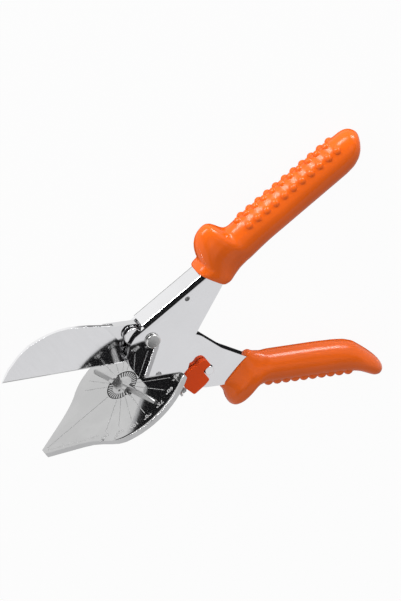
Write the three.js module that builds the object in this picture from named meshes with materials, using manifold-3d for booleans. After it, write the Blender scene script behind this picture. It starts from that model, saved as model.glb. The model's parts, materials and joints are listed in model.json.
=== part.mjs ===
// Mitre shears: a curved blade closes on a fan shaped plate that carries a turning mitre fence.
// Millimetres. The tool's own frame: +X from the jaws to the grips, +Z from the plate to the blade,
// -Y the side with the round pin head. The origin of that frame is the fence's turning point.
import * as THREE from 'three';
import { mergeVertices } from 'three/addons/utils/BufferGeometryUtils.js';
import Module from 'manifold-3d';

const wasm = await Module();
wasm.setup();

// Fits and cuts
const gap = 0.3;
const overrun = 2;
const roundSteps = 24;
const rodSteps = 12;
const hexSides = 6;
const curveSteps = 5;

// Levers and their pivot
const jawAngle = THREE.MathUtils.degToRad(36.4);
const pivotX = 32;
const pivotZ = 17;
const pinRadius = 4;
const pinHeadRadius = 4.7;
const pinHeadHeight = 2;
const pinHeadRound = 0.6;
const nutWidth = 12;
const nutHeight = 4;
const washerRadius = 6.4;
const washerThickness = 2;

// Folded channel of the upper lever
const channelWidth = 16;
const channelWall = 1.9;
const channelCorner = 3.2;
const spineHeight = 30;
const spineStart = 33;
const browDrop = 2;
const browBack = 1;
const cheekFront = 11;
const cheekShoulder = 10;
const cheekDrop = 18.5;
const cheekRear = 60;
const lobeShares = [
  [0, 0.24], [0.1, 0.76], [0.34, 1], [0.5, 0.92], [0.63, 0.65], [0.69, 0.25], [0.78, 0.07], [0.9, 0.03],
];
const cheekRearRise = 2;
const rimRise = 14;
const upperTangDepth = 8.5;
const upperTangTaper = 16;
const upperTangShare = 0.86;

// Plate with the protractor
const plateThickness = 4;
const plateTip = 63;
const tipHalf = 2.5;
const plateNear = 46;
const plateFar = 36;
const rearCornerRadius = 2.5;
const plateRearOffset = 5.7;
const shoulderNearShares = [[-0.913, 0.396], [-0.674, 0.554], [-0.587, 0.83]];
const shoulderNearAngle = THREE.MathUtils.degToRad(115);
const shoulderFarShares = [[-0.86, -0.51], [-0.7, -0.71]];
const tongueDrop = 14;
const tongueRear = 24;
const rivetRadius = 1.6;
const rivetShares = [[0.33, 0.74], [0.72, 0.42]];
const grooveWidth = 0.5;
const grooveDepth = 0.3;
const grooveStep = 15;
const grooveFirst = 45;
const grooveCount = 7;
const grooveReachShare = 0.77;

// Fence on the plate
const fenceAngle = 75;
const discRadius = 10.2;
const discThickness = 2;
const toothCount = 36;
const toothDepth = 0.9;
const hubStart = 5.8;
const hubEnd = 9.6;
const hubHalf = 3;
const armHeight = 4.6;
const armHalf = 1.8;
const armTipHalf = 1.2;
const armTipBevel = 3;
const armNear = 36.5;
const armFar = 29;
const fenceBossRadius = 3.4;
const fenceScrewRadius = 1.5;
const fenceScrewHead = 3.2;
const fenceScrewHeadHeight = 1.6;
const fenceWasherRadius = 5.6;
const fenceWasherThickness = 0.8;
const washerSeat = 0.5;

// Blade
const bladeThickness = 2.2;
const bladeRear = 17;
const bladeHeight = 30.8;
const bladeBackShares = [
  [0.02, 0.12], [0.051, 0.276], [0.129, 0.549], [0.209, 0.74], [0.289, 0.851], [0.371, 0.929],
  [0.4525, 0.98], [0.535, 1], [0.619, 0.99], [0.7025, 0.964], [0.819, 0.916], [0.953, 0.88],
];
const farBevel = 5;
const nearBevel = 1.2;
const edgeFlat = 0.3;
const rootRadius = 8.2;
const rootTurnShares = [-0.72, 0.6];

// Nose of the lower lever, which holds the blade
const noseWallShare = 0.57;
const noseHeadRadius = 10;
const noseTurnShares = [-0.75, 0.55];
const noseFrontShares = [[0.82, 0.914], [1, 0.39]];
const noseHeelShares = [[1.079, 0.886], [1.107, 0.83]];
const screwOffsetX = 12;
const screwOffsetZ = 3.5;
const bladeScrewRadius = 2.5;
const bladeScrewHead = 5.5;
const bladeNutWidth = 9;
const headRecess = 1.1;

// Lower lever
const leverDrop = 58;
const leverHead = 6.8;
const leverFrontShares = [[-0.11, -0.035], [-0.07, -0.34], [-0.017, -0.64], [0.08, -0.97], [0.23, -1.09]];
const leverRearShares = [[0.64, -1.02], [0.5, -0.72], [0.42, -0.42], [0.29, -0.2], [0.1, 0.05]];
const lowerGripDrop = THREE.MathUtils.degToRad(39);
const lowerTangHalf = 6;
const lowerTangShare = 0.78;

// Grips: station, top, bottom and half width along the grip, as shares of its length, height and width
const gripHeight = 12.3;
const gripWidth = 10.6;
const upperGripStart = 81;
const upperGripEnd = 208.8;
const upperGripDrop = 3.3;
const upperLean = 0.45;
const upperLeanShare = 0.24;
const upperGripShares = [
  [0, 0.4, -1.16, 0.92, 3.4], [0.012, 0.52, -1.26, 0.97, 3.2], [0.042, 0.6, -1.31, 0.98, 3],
  [0.051, 0.58, -1.32, 0.97, 2.8], [0.063, 0.87, -1.33, 0.97, 2.5], [0.082, 1.24, -1.31, 0.97, 2.3],
  [0.102, 1.56, -1.29, 0.97, 2.2], [0.126, 1.84, -1.25, 0.98, 2.1], [0.15, 2, -1.22, 1, 2],
  [0.178, 2.06, -1.2, 1, 2], [0.194, 1.92, -1.18, 1, 2], [0.205, 1.62, -1.16, 1, 2],
  [0.214, 1.28, -1.15, 1, 2], [0.224, 1.05, -1.13, 1, 2], [0.24, 0.97, -1.11, 1, 2],
  [0.3, 1, -1.05, 1, 2], [0.36, 1, -1.01, 1, 2], [0.52, 1, -1, 1, 2], [0.68, 0.99, -1, 1, 2],
  [0.84, 0.97, -0.99, 1, 2], [0.89, 0.96, -0.91, 1, 2], [0.93, 0.95, -0.7, 0.97, 2],
  [0.958, 0.9, -0.42, 0.86, 2], [0.978, 0.79, -0.1, 0.67, 2], [0.992, 0.62, 0.18, 0.4, 2],
  [1, 0.45, 0.36, 0.1, 2],
];
const studRows = [-38, 1, 40];
const studCount = 11;
const studPitch = 7;
const studFirst = 122;
const studRadius = 2.6;
const studHeight = 1;
const studSides = 8;
const studRings = 6;

const lowerGripLength = 104.3;
const lowerGripHeight = 11.3;
const lowerGripWidth = 9.9;
const lowerGripX = 39.9;
const lowerGripZ = 75;
const lowerRimBack = 21;
const lowerLean = -0.8;
const lowerLeanShare = 0.3;
const lowerGripShares = [
  [0, 1.12, -0.7, 0.9, 3], [0.018, 1.2, -0.88, 0.96, 2.8], [0.04, 1.12, -1.03, 0.97, 2.6],
  [0.064, 1.06, -1.27, 0.97, 2.4], [0.095, 1.04, -1.71, 0.97, 2.2], [0.126, 1.02, -2.05, 0.98, 2.1],
  [0.147, 1, -2.16, 0.98, 2], [0.164, 0.98, -2.06, 1, 2], [0.179, 0.97, -1.75, 1, 2],
  [0.188, 0.97, -1.4, 1, 2], [0.202, 0.97, -1.1, 1, 2], [0.235, 0.98, -0.93, 1, 2], [0.4, 1.01, -0.89, 1, 2],
  [0.55, 1.03, -0.87, 1, 2], [0.68, 1.01, -0.87, 1, 2], [0.745, 0.95, -0.88, 1, 2], [0.8, 0.79, -0.91, 1, 2],
  [0.85, 0.48, -1.01, 0.98, 2], [0.9, 0.14, -1.21, 0.92, 2], [0.94, -0.16, -1.36, 0.82, 2],
  [0.97, -0.44, -1.36, 0.64, 2], [0.99, -0.7, -1.24, 0.4, 2], [1, -0.92, -1.06, 0.12, 2],
];
const ribCount = 10;
const ribPitch = 6;
const ribFirst = 4.4;
const ribBaseShare = 0.91;
const ribRadius = 3.4;
const ribHeight = 0.25;
const ribSides = 10;
const gripSides = 20;

// Latch saddle on the lower lever, with its guide screw and coil
const latchWidth = 14;
const latchTravel = 1.5;
const latchPinX = 14.5;
const latchPinZ = 47.7;
const latchPinRadius = 3;
const latchPinProud = 2.4;
const latchLength = 21.3;
const latchTall = 16.6;
const latchPinShares = [0.7, 0.655];
const latchShares = [
  [0, 0.36], [0.09, 0.12], [0.3, 0], [0.55, 0.02], [0.66, 0.08], [0.8, 0], [0.94, 0.06], [1, 0.2],
  [1, 0.44], [0.7, 0.44], [0.7, 0.92], [0.5, 0.98], [0.08, 1], [0.02, 0.62],
];
const latchNotch = 3.4;
const latchCorner = 1.4;
const guideRadius = 1.1;
const guideHead = 2.5;
const guideHeadHeight = 1.5;
const guideDrop = 13.6;
const guideStand = 5.2;
const coilWire = 0.28;
const coilRadius = 1.75;
const coilTurns = 2.5;

// Opening spring on its pin in the channel
const springPinX = 64.5;
const springPinDrop = 6;
const springPinRadius = 1.35;
const springWire = 0.6;
const springRadius = 2.5;
const springTurns = 4;
const springPitch = 1.7;
const upperLegLength = 18;
const lowerLegLength = 22;
const lowerLegAngle = THREE.MathUtils.degToRad(128);
const wireSides = 5;
const wireSteps = 8;

const steel = new THREE.MeshStandardMaterial({ color: 0xd6d6d8, roughness: 0.12, metalness: 1 });
const zinc = new THREE.MeshStandardMaterial({ color: 0xc6c6c8, roughness: 0.25, metalness: 1 });
const bladeSteel = new THREE.MeshStandardMaterial({ color: 0xcfcfd3, roughness: 0.15, metalness: 1 });
const fastener = new THREE.MeshStandardMaterial({ color: 0xb4b4b4, roughness: 0.35, metalness: 1 });
const gripPlastic = new THREE.MeshStandardMaterial({ color: 0xee5308, roughness: 0.28, metalness: 0 });
const latchPlastic = new THREE.MeshStandardMaterial({ color: 0xd63a08, roughness: 0.35, metalness: 0 });

const tool = new THREE.Group();

// Turns a geometry into a solid that can be cut and joined
function solid(geometry) {
  const bare = geometry.index ? geometry.clone() : geometry;
  bare.deleteAttribute('normal');
  bare.deleteAttribute('uv');
  const merged = mergeVertices(bare);
  return new wasm.Manifold(new wasm.Mesh({
    numProp: 3,
    vertProperties: new Float32Array(merged.attributes.position.array),
    triVerts: new Uint32Array(merged.index.array),
  }));
}

// Adds a finished solid to the tool as a named mesh
function add(name, body, material) {
  const data = body.getMesh();
  const geometry = new THREE.BufferGeometry();
  geometry.setAttribute('position', new THREE.BufferAttribute(data.vertProperties, 3));
  geometry.setIndex(new THREE.BufferAttribute(data.triVerts, 1));
  const mesh = new THREE.Mesh(geometry, material);
  mesh.name = name;
  tool.add(mesh);
  return mesh;
}

// A closed outline of straight lines
function polygon(points) {
  return new THREE.Shape(points.map(([a, b]) => new THREE.Vector2(a, b)));
}

// A closed outline whose corners are all rounded alike
function roundedPolygon(points, radius) {
  const corners = points.map(([a, b]) => new THREE.Vector2(a, b));
  const shape = new THREE.Shape();
  corners.forEach((corner, i) => {
    const before = corners[(i + corners.length - 1) % corners.length];
    const after = corners[(i + 1) % corners.length];
    const reach = Math.min(radius, corner.distanceTo(before) / 2, corner.distanceTo(after) / 2);
    const start = corner.clone().add(before.clone().sub(corner).setLength(reach));
    const end = corner.clone().add(after.clone().sub(corner).setLength(reach));
    if (i === 0) {
      shape.moveTo(start.x, start.y);
    } else {
      shape.lineTo(start.x, start.y);
    }
    shape.quadraticCurveTo(corner.x, corner.y, end.x, end.y);
  });
  shape.closePath();
  return shape;
}

// Moves each side of a counter-clockwise outline outwards by the same distance
function grow(points, distance) {
  return points.map((point, i) => {
    const before = points[(i + points.length - 1) % points.length];
    const after = points[(i + 1) % points.length];
    const inDirection = new THREE.Vector2(point[0] - before[0], point[1] - before[1]).normalize();
    const outDirection = new THREE.Vector2(after[0] - point[0], after[1] - point[1]).normalize();
    const inNormal = new THREE.Vector2(inDirection.y, -inDirection.x);
    const outNormal = new THREE.Vector2(outDirection.y, -outDirection.x);
    const bisector = inNormal.clone().add(outNormal).normalize();
    const reach = distance / Math.max(bisector.dot(inNormal), Math.SQRT1_2);
    return [point[0] + bisector.x * reach, point[1] + bisector.y * reach];
  });
}

// A slab whose outline is drawn in X and Z and whose thickness lies along Y
function sideSlab(shape, nearY, farY) {
  const geometry = new THREE.ExtrudeGeometry(shape, {
    depth: farY - nearY, bevelEnabled: false, curveSegments: curveSteps,
  });
  geometry.rotateX(Math.PI / 2);
  geometry.translate(0, farY, 0);
  return solid(geometry);
}

// A slab whose outline is drawn in X and Y and whose thickness lies along Z
function flatSlab(shape, bottom, top) {
  const geometry = new THREE.ExtrudeGeometry(shape, {
    depth: top - bottom, bevelEnabled: false, curveSegments: curveSteps,
  });
  geometry.translate(0, 0, bottom);
  return solid(geometry);
}

// A bar along X whose outline is drawn in Y and Z
function longBar(shape, startX, endX) {
  const geometry = new THREE.ExtrudeGeometry(shape, {
    depth: endX - startX, bevelEnabled: false, curveSegments: curveSteps,
  });
  const turn = new THREE.Matrix4().makeBasis(
    new THREE.Vector3(0, 1, 0), new THREE.Vector3(0, 0, 1), new THREE.Vector3(1, 0, 0),
  );
  geometry.applyMatrix4(turn);
  geometry.translate(startX, 0, 0);
  return solid(geometry);
}

function box(low, high) {
  const size = new THREE.Vector3().subVectors(high, low);
  const geometry = new THREE.BoxGeometry(size.x, size.y, size.z);
  geometry.translate(low.x + size.x / 2, low.y + size.y / 2, low.z + size.z / 2);
  return solid(geometry);
}

// A round or many-sided rod across the tool, from its near end to its far end
function crossRod(radius, x, z, nearY, farY, sides = roundSteps) {
  const geometry = new THREE.CylinderGeometry(radius, radius, farY - nearY, sides);
  geometry.translate(x, (nearY + farY) / 2, z);
  return solid(geometry);
}

// A round turned about the vertical line through the fence's centre
function uprightTurned(profile, sides = roundSteps) {
  const geometry = new THREE.LatheGeometry(profile.map(([r, z]) => new THREE.Vector2(r, z)), sides);
  geometry.rotateX(Math.PI / 2);
  return solid(geometry);
}

function uprightRod(radius, bottom, top, sides = roundSteps) {
  return uprightTurned([[0, bottom], [radius, bottom], [radius, top], [0, top]], sides);
}

// A rod along X
function longRod(radius, y, z, startX, endX) {
  const geometry = new THREE.CylinderGeometry(radius, radius, endX - startX, rodSteps);
  geometry.rotateZ(Math.PI / 2);
  geometry.translate((startX + endX) / 2, y, z);
  return solid(geometry);
}

function hexWidthToRadius(width) {
  return width / 2 / Math.cos(Math.PI / 6);
}

// Turns a point of the closed jaw to its place in the open jaw
function opened([x, z]) {
  const cos = Math.cos(jawAngle);
  const sin = Math.sin(jawAngle);
  const dx = x - pivotX;
  const dz = z - pivotZ;
  return [pivotX + dx * cos + dz * sin, pivotZ - dx * sin + dz * cos];
}

// Skins a row of closed rings of points and closes both ends
function skin(rings) {
  const sides = rings[0].length;
  const positions = rings.flat();
  const index = [];
  for (let i = 0; i + 1 < rings.length; i += 1) {
    for (let j = 0; j < sides; j += 1) {
      const a = i * sides + j;
      const b = i * sides + (j + 1) % sides;
      index.push(a, a + sides, b, b, a + sides, b + sides);
    }
  }
  const last = (rings.length - 1) * sides;
  for (let j = 1; j + 1 < sides; j += 1) {
    index.push(0, j, j + 1);
    index.push(last, last + j + 1, last + j);
  }
  const geometry = new THREE.BufferGeometry();
  geometry.setAttribute('position', new THREE.Float32BufferAttribute(positions.flat(), 3));
  geometry.setIndex(index);
  return geometry;
}

// A grip lofted through its table of sections, along +X with its middle line on the axis
function gripSolid(shares, length, height, width, lean, leanShare) {
  const rings = shares.map(([station, top, bottom, side, square]) => {
    const middle = (top + bottom) / 2;
    const half = (top - bottom) / 2;
    const slant = lean * Math.max(0, 1 - station / leanShare);
    const ring = [];
    for (let j = 0; j < gripSides; j += 1) {
      const angle = j / gripSides * 2 * Math.PI;
      const c = Math.cos(angle);
      const s = Math.sin(angle);
      const across = -Math.sign(c) * Math.abs(c) ** (2 / square) * side * width;
      const up = (middle + Math.sign(s) * Math.abs(s) ** (2 / square) * half) * height;
      ring.push([station * length - slant * up, across, up]);
    }
    return ring;
  });
  return solid(skin(rings));
}

// An unbroken wire through a row of points
function wire(points, radius) {
  const up = new THREE.Vector3();
  const rings = points.map((point, i) => {
    const before = points[Math.max(i - 1, 0)];
    const after = points[Math.min(i + 1, points.length - 1)];
    const along = after.clone().sub(before).normalize();
    if (i === 0) {
      up.set(along.y, along.z, along.x).cross(along).normalize();
    }
    up.addScaledVector(along, -up.dot(along)).normalize();
    const side = along.clone().cross(up);
    const ring = [];
    for (let j = 0; j < wireSides; j += 1) {
      const angle = j / wireSides * 2 * Math.PI;
      const edge = point.clone()
        .addScaledVector(side, Math.cos(angle) * radius)
        .addScaledVector(up, Math.sin(angle) * radius);
      ring.push([edge.x, edge.y, edge.z]);
    }
    return ring;
  });
  return solid(skin(rings));
}

// The least gap between the turns of a wire, measured on its points
function leastGap(points, radius) {
  let least = Infinity;
  for (let i = 0; i < points.length; i += 1) {
    for (let j = i + wireSteps / 2; j < points.length; j += 1) {
      least = Math.min(least, points[i].distanceTo(points[j]) - 2 * radius);
    }
  }
  return least;
}

const channelHalf = channelWidth / 2;
const innerHalf = channelHalf - channelWall;
const leverThickness = 2 * (innerHalf - washerThickness - 2 * gap);
const bladeRoom = bladeThickness + 2 * gap;
const noseThickness = bladeRoom + (leverThickness - bladeRoom) * noseWallShare;
const bladeScrewHeadHeight = innerHalf - noseThickness / 2 - 2 * gap;
const bladeNutHeight = bladeScrewHeadHeight - gap;
const upperTangBottom = spineHeight - upperTangDepth;
const upperGripZ = spineHeight - upperGripDrop;
const springPinZ = spineHeight - springPinDrop;
const spineInner = spineHeight - channelWall;
const footBack = channelHalf + plateRearOffset + 2 * gap;
const upperGripLength = upperGripEnd - upperGripStart;
const upperTangEnd = upperGripStart + upperGripLength * upperTangShare;

// Side outline of the folded channel, counter-clockwise
function channelOutline() {
  const points = [[spineStart, spineHeight], [spineStart, spineHeight - browDrop]];
  const browX = spineStart - browBack;
  const browZ = spineHeight - browDrop;
  for (let i = 0; i <= 2 * curveSteps; i += 1) {
    const angle = Math.PI / 2 * (i / (2 * curveSteps));
    points.push([
      browX - Math.sin(angle) * (browX - cheekFront),
      cheekShoulder + Math.cos(angle) * (browZ - cheekShoulder),
    ]);
  }
  points.push([cheekFront, gap], [footBack, gap]);
  lobeShares.forEach(([along, down]) => {
    points.push([footBack + along * (cheekRear - footBack), -down * cheekDrop]);
  });
  points.push([cheekRear, cheekRearRise]);
  points.push([upperGripStart + overrun * 2, rimRise]);
  points.push([upperGripStart + upperTangTaper, upperTangBottom]);
  points.push([upperTangEnd, upperTangBottom], [upperTangEnd, spineHeight]);
  return points;
}

function channelSection(half, top, corner) {
  const shape = new THREE.Shape();
  shape.moveTo(-half, -cheekDrop - overrun);
  shape.lineTo(half, -cheekDrop - overrun);
  shape.lineTo(half, top - corner);
  shape.quadraticCurveTo(half, top, half - corner, top);
  shape.lineTo(corner - half, top);
  shape.quadraticCurveTo(-half, top, -half, top - corner);
  shape.closePath();
  return shape;
}

function tonguePoint([along, down]) {
  return [footBack + along * (tongueRear - footBack), -down * tongueDrop];
}

function upperLever() {
  const side = sideSlab(polygon(channelOutline()), -channelWidth, channelWidth);
  const section = channelSection(channelHalf, spineHeight, channelCorner);
  const hollow = channelSection(innerHalf, spineInner, channelCorner - channelWall);
  let lever = side.intersect(longBar(section, 0, upperTangEnd + overrun));
  lever = lever.subtract(longBar(hollow, -overrun, upperTangEnd + 2 * overrun));
  lever = lever.subtract(crossRod(pinRadius + gap, pivotX, pivotZ, -channelWidth, channelWidth));
  lever = lever.subtract(
    crossRod(springPinRadius + gap, springPinX, springPinZ, -channelWidth, channelWidth),
  );
  rivetShares.forEach((share) => {
    const [x, z] = tonguePoint(share);
    lever = lever.subtract(crossRod(rivetRadius + gap, x, z, -channelWidth, channelWidth));
  });
  add('upper_lever', lever, steel);
}

// The plate's outline seen from above, the near side at -Y
function plateShape() {
  const shape = new THREE.Shape();
  const rear = (radius) => {
    const half = plateRearOffset / 2;
    return half + Math.sqrt(radius * radius / 2 - half * half);
  };
  const tongueHalf = innerHalf - gap;
  const nearRear = rear(plateNear);
  const farRear = rear(plateFar);
  shape.moveTo(-plateTip, tipHalf);
  shape.lineTo(-plateTip, -tipHalf);
  const [edge, edgeHandle, arcHandle] = shoulderNearShares.map(([a, b]) => [a * plateNear, -b * plateNear]);
  const steps = 3 * curveSteps;
  const nearFirst = -shoulderNearAngle;
  const nearLast = Math.atan2(-(nearRear - plateRearOffset), nearRear);
  shape.lineTo(...edge);
  shape.bezierCurveTo(
    ...edgeHandle, ...arcHandle, Math.cos(nearFirst) * plateNear, Math.sin(nearFirst) * plateNear,
  );
  for (let i = 1; i <= steps; i += 1) {
    const angle = nearFirst + (nearLast - nearFirst) * (i / steps);
    const round = i === steps ? rearCornerRadius / plateNear : 0;
    shape.lineTo(Math.cos(angle - round) * plateNear, Math.sin(angle - round) * plateNear);
  }
  shape.lineTo(nearRear - rearCornerRadius, -(nearRear - plateRearOffset - rearCornerRadius));
  shape.lineTo(tongueHalf + plateRearOffset, -tongueHalf);
  shape.lineTo(tongueRear, -tongueHalf);
  shape.lineTo(tongueRear, tongueHalf);
  shape.lineTo(tongueHalf + plateRearOffset, tongueHalf);
  shape.lineTo(farRear - rearCornerRadius, farRear - plateRearOffset - rearCornerRadius);
  const farFirst = Math.atan2(farRear - plateRearOffset, farRear);
  const [farStart, farEdge] = [shoulderFarShares[1], shoulderFarShares[0]];
  const farLast = Math.atan2(-farStart[1], farStart[0]);
  for (let i = 0; i <= steps; i += 1) {
    const round = i === 0 ? rearCornerRadius / plateFar : 0;
    const angle = farFirst + round + (farLast - farFirst - round) * (i / steps);
    shape.lineTo(Math.cos(angle) * plateFar, Math.sin(angle) * plateFar);
  }
  shape.quadraticCurveTo(
    farEdge[0] * plateFar, -farEdge[1] * plateFar,
    (farEdge[0] * plateFar - plateTip) / 2, (-farEdge[1] * plateFar + tipHalf) / 2,
  );
  shape.closePath();
  return shape;
}

function anvilPlate() {
  const shape = plateShape();
  let plate = flatSlab(shape, -plateThickness, 0);
  const tongueHalf = innerHalf - gap;
  plate = plate.add(box(
    new THREE.Vector3(footBack - 2 * gap - channelWall, -tongueHalf, -tongueDrop),
    new THREE.Vector3(tongueRear, tongueHalf, -plateThickness / 2),
  ));
  plate = plate.subtract(uprightRod(discRadius + gap, -discThickness - gap, overrun));
  plate = plate.subtract(uprightRod(fenceBossRadius + gap, -plateThickness - overrun, overrun));
  plate = plate.subtract(
    uprightRod(fenceWasherRadius + gap, -plateThickness - overrun, washerSeat - plateThickness),
  );
  rivetShares.forEach((share) => {
    const [x, z] = tonguePoint(share);
    plate = plate.subtract(crossRod(rivetRadius + gap, x, z, -channelWidth, channelWidth));
  });
  for (let i = 0; i < grooveCount; i += 1) {
    const angle = THREE.MathUtils.degToRad(grooveFirst + i * grooveStep);
    [[-1, plateNear], [1, plateFar]].forEach(([way, radius]) => {
      const start = discRadius + overrun;
      const geometry = new THREE.BoxGeometry(radius * grooveReachShare - start, grooveWidth, 2 * grooveDepth);
      geometry.translate((radius * grooveReachShare + start) / 2, 0, 0);
      geometry.rotateZ(way * angle);
      plate = plate.subtract(solid(geometry));
    });
  }
  add('anvil_plate', plate, zinc);
  rivetShares.forEach((share, i) => {
    const [x, z] = tonguePoint(share);
    add(`plate_rivet_${i + 1}`, crossRod(rivetRadius, x, z, -channelHalf, channelHalf), fastener);
  });
}

// The fence: a toothed disc let into the plate, with an arm each way and a boss through the plate
function mitreFence() {
  const teeth = [];
  for (let i = 0; i < toothCount; i += 1) {
    const step = 2 * Math.PI / toothCount;
    const inner = discRadius - toothDepth;
    teeth.push([Math.cos(i * step) * inner, Math.sin(i * step) * inner]);
    teeth.push([Math.cos((i + 1 / 3) * step) * discRadius, Math.sin((i + 1 / 3) * step) * discRadius]);
    teeth.push([Math.cos((i + 2 / 3) * step) * discRadius, Math.sin((i + 2 / 3) * step) * discRadius]);
  }
  let fence = flatSlab(polygon(teeth), -discThickness, 0);
  fence = fence.add(uprightRod(fenceBossRadius, washerSeat - plateThickness, -discThickness / 2));
  [[-1, armNear], [1, armFar]].forEach(([way, reach]) => {
    const angle = way * THREE.MathUtils.degToRad(way < 0 ? fenceAngle : 180 - fenceAngle);
    const side = polygon([
      [hubStart, -discThickness / 2], [discRadius - toothDepth * 2, -discThickness / 2],
      [discRadius - toothDepth * 2, gap], [reach, gap], [reach, armHeight / 3],
      [reach - armTipBevel, armHeight], [hubStart, armHeight],
    ]);
    const plan = polygon([
      [hubStart, -hubHalf], [hubEnd, -hubHalf], [hubEnd + overrun, -armHalf], [reach, -armTipHalf],
      [reach, armTipHalf], [hubEnd + overrun, armHalf], [hubEnd, hubHalf], [hubStart, hubHalf],
    ]);
    let arm = sideSlab(side, -hubHalf, hubHalf);
    arm = arm.intersect(flatSlab(plan, -discThickness, armHeight + overrun));
    arm = arm.rotate([0, 0, THREE.MathUtils.radToDeg(angle)]);
    fence = fence.add(arm);
  });
  fence = fence.subtract(uprightRod(fenceScrewRadius + gap, -plateThickness - overrun, -gap));
  add('mitre_fence', fence, zinc);

  const washerTop = washerSeat - plateThickness - gap;
  const washerBottom = washerTop - fenceWasherThickness;
  let washer = uprightRod(fenceWasherRadius, washerBottom, washerTop);
  washer = washer.subtract(uprightRod(fenceScrewRadius + gap, washerBottom - overrun, washerTop + overrun));
  add('fence_washer', washer, fastener);
  const headTop = washerBottom - gap;
  let screw = uprightRod(fenceScrewRadius, headTop - gap, -2 * gap);
  screw = screw.add(uprightRod(fenceScrewHead, headTop - fenceScrewHeadHeight, headTop));
  add('fence_screw', screw, fastener);
}

// The blade's outline with the jaw closed, counter-clockwise, its edge just above the plate
const bladeReach = plateTip + bladeRear;

function bladePlace([along, up]) {
  return [along * bladeReach - plateTip, gap + up * (bladeHeight - gap)];
}

function bladeOutline() {
  const points = [[-plateTip, gap], [bladeRear, gap], [bladeRear, bladeHeight * noseFrontShares[1][1]]];
  const steps = 2 * curveSteps;
  const [first, last] = rootTurnShares.map((share) => share * Math.PI);
  for (let i = 0; i <= steps; i += 1) {
    const angle = first + (last - first) * (i / steps);
    points.push([pivotX + Math.cos(angle) * rootRadius, pivotZ + Math.sin(angle) * rootRadius]);
  }
  points.push(bladePlace([noseHeelShares[0][0], noseHeelShares[0][1] - gap / bladeHeight]));
  bladeBackShares.toReversed().forEach((share) => points.push(bladePlace(share)));
  return points;
}

const screwPlace = opened([pivotX - screwOffsetX, pivotZ + screwOffsetZ]);

function blade() {
  const half = bladeThickness / 2;
  let body = sideSlab(polygon(bladeOutline().map(opened)), -half, half);
  const wedge = (way) => {
    const shape = polygon(way > 0
      ? [[edgeFlat / 2, gap - overrun], [half * 2, gap - overrun], [half * 2, gap + farBevel],
        [half, gap + farBevel], [edgeFlat / 2, gap]]
      : [[-edgeFlat / 2, gap], [-half, gap + nearBevel], [-half * 2, gap + nearBevel],
        [-half * 2, gap - overrun], [-edgeFlat / 2, gap - overrun]]);
    return longBar(shape, -plateTip - overrun, bladeRear + overrun);
  };
  [-1, 1].forEach((way) => {
    const cut = wedge(way)
      .translate([-pivotX, 0, -pivotZ])
      .rotate([0, THREE.MathUtils.radToDeg(jawAngle), 0])
      .translate([pivotX, 0, pivotZ]);
    body = body.subtract(cut);
  });
  body = body.subtract(crossRod(pinRadius + gap, pivotX, pivotZ, -channelWidth, channelWidth));
  body = body.subtract(crossRod(bladeScrewRadius + gap, ...screwPlace, -channelWidth, channelWidth));
  add('blade', body, bladeSteel);
}

// Points of the lower lever and its grip, as seen with the jaw open
function leverPlace([along, up]) {
  return [pivotX + along * leverDrop, pivotZ + up * leverDrop];
}

const gripAlong = [Math.cos(lowerGripDrop), -Math.sin(lowerGripDrop)];
const gripUp = [Math.sin(lowerGripDrop), Math.cos(lowerGripDrop)];

function gripPlace(along, up) {
  return [
    pivotX + lowerGripX + gripAlong[0] * along + gripUp[0] * up,
    pivotZ - lowerGripZ + gripAlong[1] * along + gripUp[1] * up,
  ];
}

function lowerLeverOutline() {
  const tangEnd = lowerGripLength * lowerTangShare - lowerRimBack;
  return [
    ...leverFrontShares.map(leverPlace),
    gripPlace(-lowerGripHeight, -lowerTangHalf), gripPlace(tangEnd, -lowerTangHalf),
    gripPlace(tangEnd, lowerTangHalf), gripPlace(0, lowerTangHalf),
    ...leverRearShares.map(leverPlace),
  ];
}

function lowerLever() {
  const half = leverThickness / 2;
  const noseHalf = noseThickness / 2;
  const headSteps = 2 * curveSteps;
  const [first, last] = noseTurnShares.map((share) => share * Math.PI);
  const nose = [bladePlace(noseFrontShares[0]), [bladeRear, bladeHeight * noseFrontShares[1][1]]];
  for (let i = 0; i <= headSteps; i += 1) {
    const angle = first + (last - first) * (i / headSteps);
    nose.push([pivotX + Math.cos(angle) * noseHeadRadius, pivotZ + Math.sin(angle) * noseHeadRadius]);
  }
  nose.push(bladePlace(noseHeelShares[1]), bladePlace(noseHeelShares[0]));
  let lever = sideSlab(polygon(nose.map(opened)), -noseHalf, noseHalf);
  const outline = lowerLeverOutline();
  lever = lever.add(sideSlab(roundedPolygon(outline, overrun), -half, half));
  lever = lever.add(crossRod(leverHead, pivotX, pivotZ, -half, half));
  const slotHalf = bladeRoom / 2;
  lever = lever.subtract(sideSlab(polygon(grow(bladeOutline(), gap).map(opened)), -slotHalf, slotHalf));
  lever = lever.subtract(crossRod(pinRadius + gap, pivotX, pivotZ, -channelWidth, channelWidth));
  lever = lever.subtract(crossRod(bladeScrewRadius + gap, ...screwPlace, -channelWidth, channelWidth));
  lever = lever.subtract(crossRod(latchPinRadius + gap, ...latchPinPlace, -channelWidth, channelWidth));
  lever = lever.subtract(longRod(guideRadius + gap, 0, guideZ, guideStart, guideTip + gap));
  add('lower_lever', lever, steel);
}

// Latch: a saddle over the lever's front edge, its guide screw, its coil and the pin in its notch
const latchPinPlace = [pivotX + latchPinX, pivotZ - latchPinZ];
const latchTop = latchPinPlace[1] + latchTall * latchPinShares[1];
const latchFront = latchPinPlace[0] - latchNotch - latchLength * latchPinShares[0];
const guideZ = latchTop - guideDrop;
const guideStart = latchFront - guideStand;
const guideTip = latchPinPlace[0] - latchPinRadius - 2 * gap - overrun;

function latchPlace([along, down]) {
  return [latchFront + along * latchLength, latchTop - down * latchTall];
}

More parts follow.
